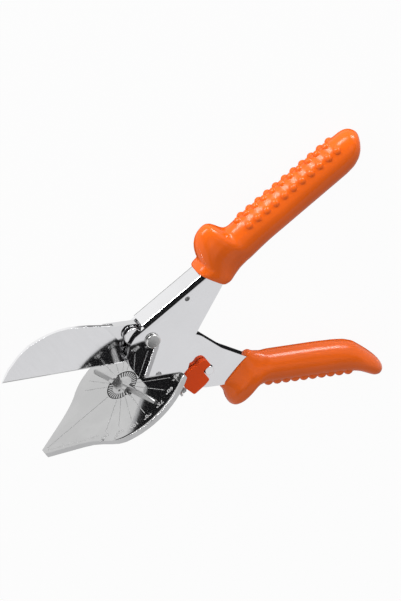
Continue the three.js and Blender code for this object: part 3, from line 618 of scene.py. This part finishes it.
def make_floor():
    """A pale floor that keeps the tool's shadow and leaves the metal's gloss to the studio."""
    clear_selection()
    bpy.ops.mesh.primitive_plane_add(size=FLOOR_SIZE, location=(0, 0, -FLOOR_DROP * MM))
    floor = named("floor")
    finish = new_finish("pale_floor")
    rays = finish.node("ShaderNodeLightPath")
    seen = Signal(finish, rays.outputs["Is Camera Ray"]) + Signal(finish, rays.outputs["Is Glossy Ray"])
    matte = finish.node("ShaderNodeBsdfDiffuse", {}, {"Color": (*FLOOR_COLOUR, 1.0)})
    white = finish.node("ShaderNodeEmission", {}, {"Color": (*WHITE, 1.0), "Strength": 1.0})
    mixed = finish.node("ShaderNodeMixShader", {}, {
        0: seen * FLOOR_GLOW, 1: matte.outputs[0], 2: white.outputs[0],
    })
    finish.node("ShaderNodeOutputMaterial", {}, {"Surface": mixed.outputs[0]})
    floor.data.materials.append(finish.owner)
    floor.visible_glossy = False


def make_lamp(name, away, distance, size, power):
    """A soft rectangular lamp that looks at the tool from a direction."""
    lamp = bpy.data.lights.new(name, "AREA")
    lamp.shape = "RECTANGLE"
    lamp.size, lamp.size_y = size
    lamp.energy = power
    holder = bpy.data.objects.new(name, lamp)
    bpy.context.scene.collection.objects.link(holder)
    away = Vector(away).normalized()
    holder.location = away * distance
    holder.rotation_euler = away.to_track_quat("Z", "Y").to_euler()
    holder.visible_camera = False


def make_camera():
    """A long lens at the photograph's angle, with the fence's centre on its pixel."""
    camera = bpy.data.cameras.new("camera")
    camera.sensor_width = SENSOR
    camera.lens = LENS
    camera.clip_end = 100.0
    width, height = PHOTO_SIZE
    distance = height / PIXELS_PER_MM * MM * LENS / SENSOR
    aim = (
        FENCE_CENTRE
        + VIEW_RIGHT * (width / 2 - FENCE_PIXEL[0]) / PIXELS_PER_MM * MM
        - VIEW_UP * (height / 2 - FENCE_PIXEL[1]) / PIXELS_PER_MM * MM
    )
    holder = bpy.data.objects.new("camera", camera)
    bpy.context.scene.collection.objects.link(holder)
    turn = Matrix((VIEW_RIGHT, VIEW_UP, VIEW_FROM)).transposed().to_4x4()
    holder.matrix_world = Matrix.Translation(aim + VIEW_FROM * distance) @ turn
    bpy.context.scene.camera = holder


class StageOperator(bpy.types.Operator):
    """Set up the pale floor, the studio light and the camera."""

    bl_idname = "mitre_shears.stage"
    bl_label = "Stage"

    def execute(self, context):
        make_world()
        make_floor()
        make_camera()
        for lamp in LAMPS:
            make_lamp(*lamp)
        context.scene.view_settings.view_transform = "Standard"
        return {"FINISHED"}


# The plate and its marks
PLATE_THICKNESS = 4.0
FENCE_SEAT_RADIUS = 10.7
FENCE_SEAT_DEPTH = 2.3
BOSS_HOLE_RADIUS = 3.7
WASHER_SEAT_RADIUS = 5.9
WASHER_SEAT_DEPTH = 0.5
TONGUE_START = 11.6
TONGUE_HALF = 5.9
GROOVE_ANGLES = [45, 60, 75, 90, 105, 120, 135]
GROOVE_START = 11.4
NEAR_GROOVE_END = 36.3
FAR_GROOVE_END = 28.0
LONG_LINE_END = 60.0
LABEL_RADIUS = 40.2
RULER_START = (-60.2, -2.6, 0.0)
RULER_TURN = -37.0
RULER_LINE = 0.24
TICKS = ((2.6, range(0, 37, 10)), (1.9, range(5, 37, 10)), (1.2, [i for i in range(37) if i % 5]))
MARK_RISE = 0.03
MARK_WIDTH_SHARE = 0.96
LABEL_SWELL = 0.11
OUTLINE_CLEAR_SHARE = 1.3
PLATE_ROUNDING_SHARE = 0.6
TONGUE_TOP_SHARE = 0.6


def edge_outline(node, height, clear_of):
    """The closed outline of a flat top face of a node, filled, in the tool's frame."""
    obj = node_copy(node, "outline")
    faces_of = {}
    for face in obj.data.polygons:
        for key in face.edge_keys:
            faces_of.setdefault(key, []).append(face)
    points = obj.data.vertices
    wanted = set()
    for key, faces in faces_of.items():
        level = all(abs(points[i].co.z - height) < SAME_PLACE for i in key)
        middle = (points[key[0]].co + points[key[1]].co) / 2
        flat = any(face.normal.z > FACING for face in faces)
        deep = any(
            abs(face.normal.z) < ALONGSIDE and min(points[i].co.z for i in face.vertices) < height - MM
            for face in faces
        )
        if level and flat and deep and middle.xy.length > clear_of:
            wanted.add(key)
    select_parts(obj, "EDGE", lambda edge: edge.key not in wanted)
    bpy.ops.mesh.delete(type="EDGE")
    bpy.ops.mesh.select_all(action="SELECT")
    bpy.ops.mesh.edge_face_add()
    leave_edit()
    return obj


def groove_bars(bottom, top, width):
    """One bar for each groove of the protractor, near and far, and one for the long line."""
    bars = []
    for way, end in ((-1, NEAR_GROOVE_END), (1, FAR_GROOVE_END)):
        bar = add_bar((GROOVE_START, -width / 2, bottom), (end, width / 2, top))
        bars += copies(bar, [turned(way * angle) for angle in GROOVE_ANGLES])
    bars.append(add_bar((-LONG_LINE_END, -width / 2, bottom), (-GROOVE_START, width / 2, top)))
    return join(bars, "grooves")


class PlateOperator(bpy.types.Operator):
    """Model the fan shaped plate: its sloped rim, the fence's seat, the grooves and the tongue."""

    bl_idname = "mitre_shears.plate"
    bl_label = "Plate"

    def execute(self, context):
        sizes = context.scene.mitre_shears
        plate = edge_outline("anvil_plate", 0.0, FENCE_SEAT_RADIUS * OUTLINE_CLEAR_SHARE * MM)
        plate.name = "plate"
        select_parts(plate, "FACE", lambda face: True)
        bpy.ops.mesh.normals_make_consistent(inside=False)
        down = {"value": (0, 0, -PLATE_THICKNESS * MM)}
        bpy.ops.mesh.extrude_region_move(TRANSFORM_OT_translate=down)
        bpy.ops.mesh.select_all(action="SELECT")
        bpy.ops.mesh.normals_make_consistent(inside=False)
        leave_edit()
        select_parts(plate, "FACE", lambda face: face.normal.z > FACING)
        bpy.ops.mesh.inset(thickness=sizes.rim_width, depth=0.0)
        leave_edit()
        inner = {i for face in plate.data.polygons if face.select for i in face.vertices}
        select_parts(
            plate, "VERT", lambda point: point.co.z > -PICK_MARGIN * MM and point.index not in inner,
        )
        bpy.ops.transform.translate(value=(0, 0, -sizes.rim_fall))
        leave_edit()
        soften_edges(plate, sizes.edge_rounding * PLATE_ROUNDING_SHARE)
        tongue = node_copy("anvil_plate", "tongue")
        select_parts(tongue, "FACE", lambda face: True)
        bpy.ops.mesh.bisect(
            plane_co=(0, 0, -PLATE_THICKNESS * TONGUE_TOP_SHARE * MM), plane_no=(0, 0, 1),
            clear_outer=True, use_fill=True,
        )
        bpy.ops.mesh.select_all(action="SELECT")
        bpy.ops.mesh.bisect(
            plane_co=(TONGUE_START * MM, 0, 0), plane_no=(1, 0, 0), clear_inner=True, use_fill=True,
        )
        for side in (-1, 1):
            bpy.ops.mesh.select_all(action="SELECT")
            bpy.ops.mesh.bisect(
                plane_co=(0, side * TONGUE_HALF * MM, 0), plane_no=(0, side, 0), clear_outer=True,
                use_fill=True,
            )
        leave_edit()
        cut(plate, tongue, "UNION")
        below = -PLATE_THICKNESS - 2 * OVERRUN
        cut(plate, add_rod(FENCE_SEAT_RADIUS, -FENCE_SEAT_DEPTH, OVERRUN))
        cut(plate, add_rod(BOSS_HOLE_RADIUS, below, OVERRUN))
        cut(plate, add_rod(WASHER_SEAT_RADIUS, below, WASHER_SEAT_DEPTH - PLATE_THICKNESS))
        cut(plate, groove_bars(-sizes.line_depth / MM, OVERRUN, sizes.line_width / MM))
        seat(plate, "upper_frame", "plate_metal", "plate_metal", "anvil_plate")
        return {"FINISHED"}


class PlateMarksOperator(bpy.types.Operator):
    """Make the etched floor of the grooves, the ruler's ticks and the protractor's numbers."""

    bl_idname = "mitre_shears.plate_marks"
    bl_label = "Plate marks"

    def execute(self, context):
        sizes = context.scene.mitre_shears
        floor = -sizes.line_depth / MM
        pieces = [groove_bars(floor, floor + MARK_RISE, sizes.line_width / MM * MARK_WIDTH_SHARE)]
        ruler = Matrix.Translation(Vector(RULER_START) * MM) @ turned(RULER_TURN)
        for length, marks in TICKS:
            tick = add_bar((0, 0, -MARK_RISE), (RULER_LINE, length, MARK_RISE))
            pieces += copies(tick, [ruler @ Matrix.Translation((i * MM, 0, 0)) for i in marks])
        for angle in GROOVE_ANGLES:
            around = math.radians(-angle)
            place = Vector((math.cos(around), math.sin(around), 0)) * LABEL_RADIUS * MM
            bpy.ops.object.text_add(location=place, rotation=(0, 0, math.pi))
            label = bpy.context.object
            label.data.body = f"{angle}°"
            label.data.align_x = "CENTER"
            label.data.align_y = "CENTER"
            label.data.size = sizes.label_size
            label.data.extrude = MARK_RISE * MM
            label.data.offset = LABEL_SWELL * MM
            pick(label)
            bpy.ops.object.convert(target="MESH")
            bpy.ops.object.transform_apply(location=True, rotation=True, scale=True)
            pieces.append(bpy.context.object)
        marks = join(pieces, "plate_marks")
        seat(marks, "upper_frame", "plate_metal", "etched_marks", weighted=False)
        return {"FINISHED"}


# The fence
FENCE_ANGLE = 75.0
DISC_RADIUS = 10.15
DISC_THICKNESS = 2.0
DISC_SIDES = 128
DISC_SUNK = 0.05
TOOTH_START = 6.6
BOSS_RADIUS = 3.4
SCREW_HOLE_RADIUS = 1.8
SCREW_HOLE_ROOF = 0.3
SLOT_SHARE = 0.52
# Thickness, inset and width share of the thin sheets of painted shade in the tooth slots and in the gap round
# the disc
SHADE_SHEET_RISE = 0.04
SHADE_SHEET_INSET = 0.1
SHADE_SHEET_SHARE = 0.97
RING_DEPTH = 1.0
RING_INSET = 0.05
RING_CLEARANCE = 0.02
PIN_HOLE = (-3.3, -2.4)
PIN_HOLE_RADIUS = 0.8
PIN_HOLE_LEVELS = (-1.2, 1.5)
FENCE_ROUNDING_SHARE = 0.4
ARM_HEIGHT = 4.6
ARM_HALF = 2.0
NEAR_REACH = 36.5
FAR_REACH = 29.0
ARM_START = 4.6
ARM_BOTTOM = -0.8
ARM_TIP_SHARE = 0.75
ARM_TIP_SLOPE = 7.0
ARM_TIP_FALL = 3.0
ARM_LIFT_START = 8.0
ARM_LIFT = 1.1
ARM_RIDGE_SHARE = 0.22
HUB_START = 5.3
HUB_END = 9.0
HUB_HALF = 2.9
HUB_STEP = 1.6


def make_arm(reach, turn):
    """One arm of the fence: a block at the hub and a rail with a roof's section and a sloped tip."""
    rail = add_bar((ARM_START, -ARM_HALF, ARM_BOTTOM), (reach, ARM_HALF, ARM_HEIGHT))
    select_parts(rail, "FACE", lambda face: face.normal.x > FACING)
    bpy.ops.transform.resize(value=(1, ARM_TIP_SHARE, 1), center_override=(reach * MM, 0, 0))
    bpy.ops.mesh.select_all(action="SELECT")
    bpy.ops.mesh.bisect(plane_co=((reach - ARM_TIP_SLOPE) * MM, 0, 0), plane_no=(1, 0, 0))
    leave_edit()
    select_parts(rail, "VERT", lambda point: point.co.x > (reach - PICK_MARGIN) * MM and point.co.z > MM)
    bpy.ops.transform.translate(value=(0, 0, -ARM_TIP_FALL * MM))
    leave_edit()
    select_parts(rail, "VERT", lambda point: point.co.x > ARM_LIFT_START * MM and point.co.z < 0)
    bpy.ops.transform.translate(value=(0, 0, ARM_LIFT * MM))
    leave_edit()
    select_parts(rail, "FACE", lambda face: face.normal.z > LEANING)
    bpy.ops.transform.resize(value=(1, ARM_RIDGE_SHARE, 1), center_override=(0, 0, ARM_HEIGHT * MM))
    leave_edit()
    block = add_bar((HUB_START, -HUB_HALF, ARM_BOTTOM), (HUB_END, HUB_HALF, ARM_HEIGHT - HUB_STEP))
    cut(rail, block, "UNION")
    rail.data.transform(turned(turn))
    return rail


def radial_bars(count, reach, half, bottom, top):
    """A ring of bars that widen outwards, from the teeth's inner radius."""
    bar = add_bar((TOOTH_START, -half, bottom), (reach, half, top))
    select_parts(bar, "FACE", lambda face: face.normal.x < -FACING)
    bpy.ops.transform.resize(value=(1, TOOTH_START / reach, 1), center_override=(0, 0, 0))
    leave_edit()
    return join(copies(bar, [turned(360.0 / count * i) for i in range(count)]), "radial_bars")


class FenceOperator(bpy.types.Operator):
    """Model the mitre fence: a disc with a ring of locating teeth, and an arm each way."""

    bl_idname = "mitre_shears.fence"
    bl_label = "Fence"

    def execute(self, context):
        sizes = context.scene.mitre_shears
        depth = sizes.tooth_depth / MM
        disc = add_rod(DISC_RADIUS, -DISC_THICKNESS, -DISC_SUNK, sides=DISC_SIDES)
        soften_edges(disc, sizes.edge_rounding)
        half = math.pi * DISC_RADIUS / sizes.tooth_count * SLOT_SHARE
        cut(disc, radial_bars(sizes.tooth_count, DISC_RADIUS + OVERRUN, half, -depth, OVERRUN / 2))
        for reach, turn in ((NEAR_REACH, -FENCE_ANGLE), (FAR_REACH, 180.0 - FENCE_ANGLE)):
            cut(disc, make_arm(reach, turn), "UNION")
        boss = add_rod(BOSS_RADIUS, -PLATE_THICKNESS + WASHER_SEAT_DEPTH, -DISC_THICKNESS / 2, sides=64)
        cut(disc, boss, "UNION")
        cut(disc, add_rod(SCREW_HOLE_RADIUS, -PLATE_THICKNESS - OVERRUN, -SCREW_HOLE_ROOF, sides=48))
        cut(disc, add_rod(PIN_HOLE_RADIUS, *PIN_HOLE_LEVELS, PIN_HOLE, sides=32))
        disc.name = "fence_piece"
        soften_edges(disc, sizes.edge_rounding * FENCE_ROUNDING_SHARE, segments=1, angle=40.0)
        seat(disc, "fence", "fence_metal", "fence_metal", "mitre_fence")
        # Sheets of painted shade: a near black floor in each tooth slot and a near black ring in the gap
        # round the disc
        floors = radial_bars(
            sizes.tooth_count, DISC_RADIUS - SHADE_SHEET_INSET, half * SHADE_SHEET_SHARE, -depth, -depth + SHADE_SHEET_RISE,
        )
        ring = add_rod(
            FENCE_SEAT_RADIUS - RING_INSET, -RING_DEPTH, -RING_DEPTH + SHADE_SHEET_RISE, sides=DISC_SIDES,
        )
        cut(ring, add_rod(DISC_RADIUS + RING_CLEARANCE, -DISC_THICKNESS, 0.0, sides=DISC_SIDES))
        seat(floors, "fence", "fence_metal", "painted_shade", weighted=False)
        seat(ring, "fence", "fence_metal", "painted_shade", weighted=False)
        return {"FINISHED"}


# The grips
STUD_ROWS = (-38, 1, 40)
STUD_COUNT = 11
STUD_PITCH = 7.0
STUD_FIRST = 122.0
UPPER_GRIP_MIDDLE = 26.7
RIB_COUNT = 10
RIB_PITCH = 6.0
RIB_FIRST = 4.4
RIB_RADIUS = 3.3
RIB_LENGTH = 13.0
RIB_ROUNDING = 2.4
RAY_REACH = 40.0
LOWER_GRIP_PLACE = (39.9, -75.0)
LOWER_GRIP_TURN = 39.0
SKIN_VOXEL = 0.55
SKIN_ROUNDS = 40
CORE_ROOM = 0.45
MOUTH_ROOM = 0.15
MOUTH_TRIM = 0.7
MOUTH_REACH = 10.0
MOUTH_DEPTHS = (9.5, 8.5, 7.5, 6.5, 5.5, 4.5, 3.6, 2.8, 2.0, 1.2)
MOUTH_SHARE = 0.93
MOUTH_FACING = 0.6


def swollen(node, name, room):
    """A copy of a node that is larger all round by some room."""
    core = node_copy(node, name)
    modify(core, "TRIANGULATE")
    modify(core, "DISPLACE", strength=room * MM, mid_level=0.0)
    return core


def find_mouth(grip, outward):
    """Place and normal of the largest end face close to where the lever goes into a grip."""
    limit = max(point.co.dot(outward) for point in grip.data.vertices) - MOUTH_REACH * MM
    ends = [
        face for face in grip.data.polygons
        if face.normal.dot(outward) > MOUTH_FACING and face.center.dot(outward) > limit
    ]
    mouth = max(ends, key=lambda face: face.area)
    return mouth.center.copy(), mouth.normal.copy()


def slim_mouth(grip, place, outward):
    """Thins a grip's walls step by step towards its mouth."""
    for depth in MOUTH_DEPTHS:
        limit = depth * MM
        select_parts(grip, "VERT", lambda point: (place - point.co).dot(outward) < limit)
        bpy.ops.transform.resize(value=(1, MOUTH_SHARE, 1), center_override=(0, 0, 0))
        leave_edit()


def moulding(node, carrier, name, outward, slim):
    """A grip with a smooth moulded skin, closely fitted round the lever that it sits on."""
    grip = node_copy(node, name)
    place, outward = find_mouth(grip, outward)
    hull = node_copy(node, "hull")
    select_parts(hull, "VERT", lambda point: True)
    bpy.ops.mesh.convex_hull()
    leave_edit()
    core = swollen(carrier, "core", CORE_ROOM)
    cut(core, hull, "INTERSECT")
    cut(grip, core, "UNION")
    modify(grip, "REMESH", mode="VOXEL", voxel_size=SKIN_VOXEL * MM)
    if slim:
        slim_mouth(grip, place, outward)
    modify(grip, "SMOOTH", factor=0.5, iterations=SKIN_ROUNDS)
    select_parts(grip, "FACE", lambda face: True)
    bpy.ops.mesh.bisect(
        plane_co=place - outward * MOUTH_TRIM * MM, plane_no=outward, clear_outer=True, use_fill=True,
    )
    leave_edit()
    cut(grip, swollen(carrier, "pocket", MOUTH_ROOM))
    return grip


class UpperGripOperator(bpy.types.Operator):
    """Mould the upper grip with its thumb guard and its three rows of studs."""

    bl_idname = "mitre_shears.upper_grip"
    bl_label = "Upper grip"

    def execute(self, context):
        sizes = context.scene.mitre_shears
        grip = moulding("upper_grip", "upper_lever", "upper_moulding", Vector((-1, 0, 0)), slim=False)
        ball = (sizes.stud_radius ** 2 + sizes.stud_height ** 2) / (2 * sizes.stud_height)
        clear_selection()
        bpy.ops.mesh.primitive_uv_sphere_add(segments=32, ring_count=20, radius=ball)
        stud = named("stud")
        select_parts(stud, "FACE", lambda face: True)
        bpy.ops.mesh.bisect(plane_co=(0, 0, 0), plane_no=(0, 0, 1), clear_inner=True, use_fill=True)
        leave_edit()
        places = []
        for row, tilt in enumerate(STUD_ROWS):
            angle = math.radians(tilt)
            out = Vector((0, math.sin(angle), math.cos(angle)))
            for i in range(STUD_COUNT):
                along = (STUD_FIRST + (i - (row % 2) / 2) * STUD_PITCH) * MM
                start = Vector((along, 0, UPPER_GRIP_MIDDLE * MM)) + out * RAY_REACH * MM
                hit, place, normal, _ = grip.ray_cast(start, -out)
                if not hit:
                    raise RuntimeError(f"no skin below stud {i} of row {row}")
                turn = normal.to_track_quat("Z", "Y").to_matrix().to_4x4()
                places.append(Matrix.Translation(place - normal * (ball - sizes.stud_height)) @ turn)
        cut(grip, join(copies(stud, places), "studs"), "UNION")
        seat(grip, "upper_frame", "orange_grip", "orange_grip", "upper_grip", shading=50, weighted=False)
        return {"FINISHED"}


class LowerGripOperator(bpy.types.Operator):
    """Mould the lower grip with its finger guard and the ribs below."""

    bl_idname = "mitre_shears.lower_grip"
    bl_label = "Lower grip"

    def execute(self, context):
        sizes = context.scene.mitre_shears
        turn = math.radians(-LOWER_GRIP_TURN)
        along = Vector((math.cos(turn), 0, math.sin(turn)))
        grip = moulding("lower_grip", "lower_lever", "lower_moulding", -along, slim=True)
        down = Vector((math.sin(turn), 0, -math.cos(turn)))
        start = PIVOT + Vector((LOWER_GRIP_PLACE[0], 0, LOWER_GRIP_PLACE[1])) * MM
        start.y = 0
        clear_selection()
        bpy.ops.mesh.primitive_cylinder_add(
            vertices=48, radius=RIB_RADIUS * MM, depth=RIB_LENGTH * MM, rotation=(math.pi / 2, 0, 0),
        )
        bpy.ops.object.transform_apply(location=True, rotation=True, scale=True)
        rib = named("rib")
        soften_edges(rib, RIB_ROUNDING * MM, segments=6)
        places = []
        for i in range(RIB_COUNT):
            from_below = start + along * (RIB_FIRST + i * RIB_PITCH) * MM + down * RAY_REACH * MM
            hit, place, _, _ = grip.ray_cast(from_below, -down)
            if not hit:
                raise RuntimeError(f"no skin above rib {i}")
            places.append(Matrix.Translation(place - down * (RIB_RADIUS * MM - sizes.rib_rise)))
        for one in copies(rib, places):
            cut(grip, one, "UNION")
        seat(grip, "blade_lever", "orange_grip", "orange_grip", "lower_grip", shading=50, weighted=False)
        return {"FINISHED"}


# The springs
LATCH_WIRE = 0.28
LATCH_COIL_RADIUS = 1.75
LATCH_COIL_TURNS = 4.0
LATCH_COIL_STEPS = round(LATCH_COIL_TURNS * 40)
COIL_SAME_PLACE = 0.001 * MM


class SpringOperator(bpy.types.Operator):
    """Wind the small coil in front of the latch."""

    bl_idname = "mitre_shears.springs"
    bl_label = "Springs"

    def execute(self, context):
        low, high = tool_box("latch_spring")
        wire = LATCH_WIRE * MM
        length = high.x - low.x - 2 * wire
        clear_selection()
        bpy.ops.mesh.primitive_circle_add(
            vertices=16, radius=wire, location=(0, LATCH_COIL_RADIUS * MM, 0), rotation=(0, math.pi / 2, 0),
        )
        bpy.ops.object.transform_apply(location=True, rotation=True, scale=True)
        coil = named("latch_coil")
        select_parts(coil, "VERT", lambda point: True)
        bpy.ops.transform.rotate(
            value=math.pi / 2, orient_axis="Z", orient_type="GLOBAL",
            center_override=(0, LATCH_COIL_RADIUS * MM, 0),
        )
        leave_edit()
        modify(coil, "SCREW", axis="X", angle=LATCH_COIL_TURNS * 2 * math.pi, screw_offset=length,
               steps=LATCH_COIL_STEPS, render_steps=LATCH_COIL_STEPS)
        select_parts(coil, "VERT", lambda point: False)
        bpy.ops.mesh.select_non_manifold()
        bpy.ops.mesh.edge_face_add()
        bpy.ops.mesh.select_all(action="SELECT")
        bpy.ops.mesh.remove_doubles(threshold=COIL_SAME_PLACE)
        bpy.ops.mesh.normals_make_consistent(inside=False)
        middle = (low + high) / 2
        bpy.ops.transform.translate(value=(low.x + wire, middle.y, middle.z))
        leave_edit()
        seat(coil, "blade_lever", "spring_steel", "spring_steel", "latch_spring", shading=80, weighted=False)
        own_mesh(coil)
        return {"FINISHED"}


# The levers, the blade, the latch and the fasteners
BLADE_ROUNDING = 0.35
LATCH_ROUNDING = 0.9


def soft_copy(node, body, name, width, segments, finish=None):
    """Replaces a node with a copy of its solid whose edges are softened by a width in millimetres."""
    piece = node_copy(node, name)
    soften_edges(piece, width * MM, segments)
    slot = NODE_SLOTS.get(node, "fastener_steel")
    seat(piece, body, slot, finish or slot, node)


class LeversOperator(bpy.types.Operator):
    """Soften the folded channel and the lower lever."""

    bl_idname = "mitre_shears.levers"
    bl_label = "Levers"

    def execute(self, context):
        width = context.scene.mitre_shears.edge_rounding / MM
        soft_copy("upper_lever", "upper_frame", "upper_channel", width, 2)
        soft_copy("lower_lever", "blade_lever", "lower_arm", width, 2)
        return {"FINISHED"}


def soften_outline(obj, width, segments):
    """Rounds the edges between the flat sides and the outline, and leaves a ground edge keen."""
    faces_of = {}
    for face in obj.data.polygons:
        for key in face.edge_keys:
            faces_of.setdefault(key, []).append(abs(face.normal.y))

    def on_outline(edge):
        tilts = faces_of[edge.key]
        return max(tilts) > SQUARE_ON and min(tilts) < ALONGSIDE

    select_parts(obj, "EDGE", on_outline)
    bpy.ops.mesh.bevel(offset=width * MM, segments=segments, affect="EDGES", clamp_overlap=True)
    leave_edit()


class BladeOperator(bpy.types.Operator):
    """Soften the curved blade's back and keep its cutting edge keen."""

    bl_idname = "mitre_shears.blade"
    bl_label = "Blade"

    def execute(self, context):
        blade = node_copy("blade", "curved_blade")
        soften_outline(blade, BLADE_ROUNDING, segments=3)
        seat(blade, "blade_lever", "blade_steel", "blade_steel", "blade")
        return {"FINISHED"}


class LatchOperator(bpy.types.Operator):
    """Soften the moulded latch that slides on the lower lever."""

    bl_idname = "mitre_shears.latch"
    bl_label = "Latch"

    def execute(self, context):
        soft_copy("latch", "latch_saddle", "latch_moulding", LATCH_ROUNDING, segments=5)
        return {"FINISHED"}


# Each turned fastener's body, the rounding of its edges in millimetres, and its finish
FASTENERS = {
    "pivot_pin": ("upper_frame", 0.35, "pin_steel"),
    "pivot_nut": ("upper_frame", 0.3, "fastener_steel"),
    "plate_rivet_1": ("upper_frame", 0.3, "fastener_steel"),
    "plate_rivet_2": ("upper_frame", 0.3, "fastener_steel"),
    "blade_nut": ("blade_lever", 0.25, "fastener_steel"),
    "latch_pin": ("blade_lever", 0.3, "polished_steel"),
    "latch_screw": ("blade_lever", 0.25, "pin_steel"),
}
SPRING_PIN_SHORT = 1.4
SPRING_PIN_ROUNDING = 0.2
BLADE_SCREW_HEAD = 5.5
BLADE_SCREW_HEAD_HEIGHT = 2.9
BLADE_SCREW_RADIUS = 2.5
BLADE_SCREW_ROUNDING = 0.35
BLADE_SCREW_LAP = 1.0


class FastenersOperator(bpy.types.Operator):
    """Soften the pins, nuts, screws and rivets, and close the blade screw's recess to a bright flat face."""

    bl_idname = "mitre_shears.fasteners"
    bl_label = "Fasteners"

    def execute(self, context):
        for node, (body, width, finish) in FASTENERS.items():
            soft_copy(node, body, f"{node}_turned", width, 3, finish)
        pin = node_copy("spring_pin", "spring_pin_turned")
        select_parts(pin, "VERT", lambda point: point.co.y < 0)
        bpy.ops.transform.translate(value=(0, SPRING_PIN_SHORT * MM, 0))
        leave_edit()
        soften_edges(pin, SPRING_PIN_ROUNDING * MM)
        seat(pin, "upper_frame", "fastener_steel", "fastener_steel", "spring_pin")
        low, high = tool_box("blade_screw")
        middle = (low + high) / 2
        screw = add_cross_rod(BLADE_SCREW_HEAD, low.y / MM, low.y / MM + BLADE_SCREW_HEAD_HEIGHT, middle)
        soften_edges(screw, BLADE_SCREW_ROUNDING * MM, segments=3)
        shank = add_cross_rod(BLADE_SCREW_RADIUS, low.y / MM + BLADE_SCREW_LAP, high.y / MM, middle)
        cut(screw, shank, "UNION")
        seat(screw, "blade_lever", "fastener_steel", "polished_steel", "blade_screw")
        return {"FINISHED"}


OPERATORS = (
    FinishesOperator, StageOperator, PlateOperator, PlateMarksOperator, FenceOperator, UpperGripOperator,
    LowerGripOperator, SpringOperator, LeversOperator, BladeOperator, LatchOperator, FastenersOperator,
)


class MitreShearsPanel(bpy.types.Panel):
    """Lists the sizes and the pieces of the mitre shears."""

    bl_idname = "VIEW3D_PT_mitre_shears"
    bl_label = "Mitre shears"
    bl_space_type = "VIEW_3D"
    bl_region_type = "UI"
    bl_category = "Mitre shears"

    def draw(self, context):
        column = self.layout.column()
        sizes = context.scene.mitre_shears
        for name in MitreShearsSizes.__annotations__:
            column.prop(sizes, name)
        for operator in OPERATORS:
            column.operator(operator.bl_idname)


CLASSES = (MitreShearsSizes, *OPERATORS, MitreShearsPanel)


def register():
    """Makes the classes and the scene's sizes known."""
    for made in CLASSES:
        bpy.utils.register_class(made)
    bpy.types.Scene.mitre_shears = bpy.props.PointerProperty(type=MitreShearsSizes)


def unregister():
    """Takes the sizes and the classes away again."""
    del bpy.types.Scene.mitre_shears
    for made in reversed(CLASSES):
        bpy.utils.unregister_class(made)


def main():
    """Makes every piece and the stage."""
    register()
    bpy.ops.mitre_shears.finishes()
    bpy.ops.mitre_shears.stage()
    bpy.ops.mitre_shears.plate()
    bpy.ops.mitre_shears.plate_marks()
    bpy.ops.mitre_shears.fence()
    bpy.ops.mitre_shears.upper_grip()
    bpy.ops.mitre_shears.lower_grip()
    bpy.ops.mitre_shears.springs()
    bpy.ops.mitre_shears.levers()
    bpy.ops.mitre_shears.blade()
    bpy.ops.mitre_shears.latch()
    bpy.ops.mitre_shears.fasteners()


if __name__ == "__main__":
    main()
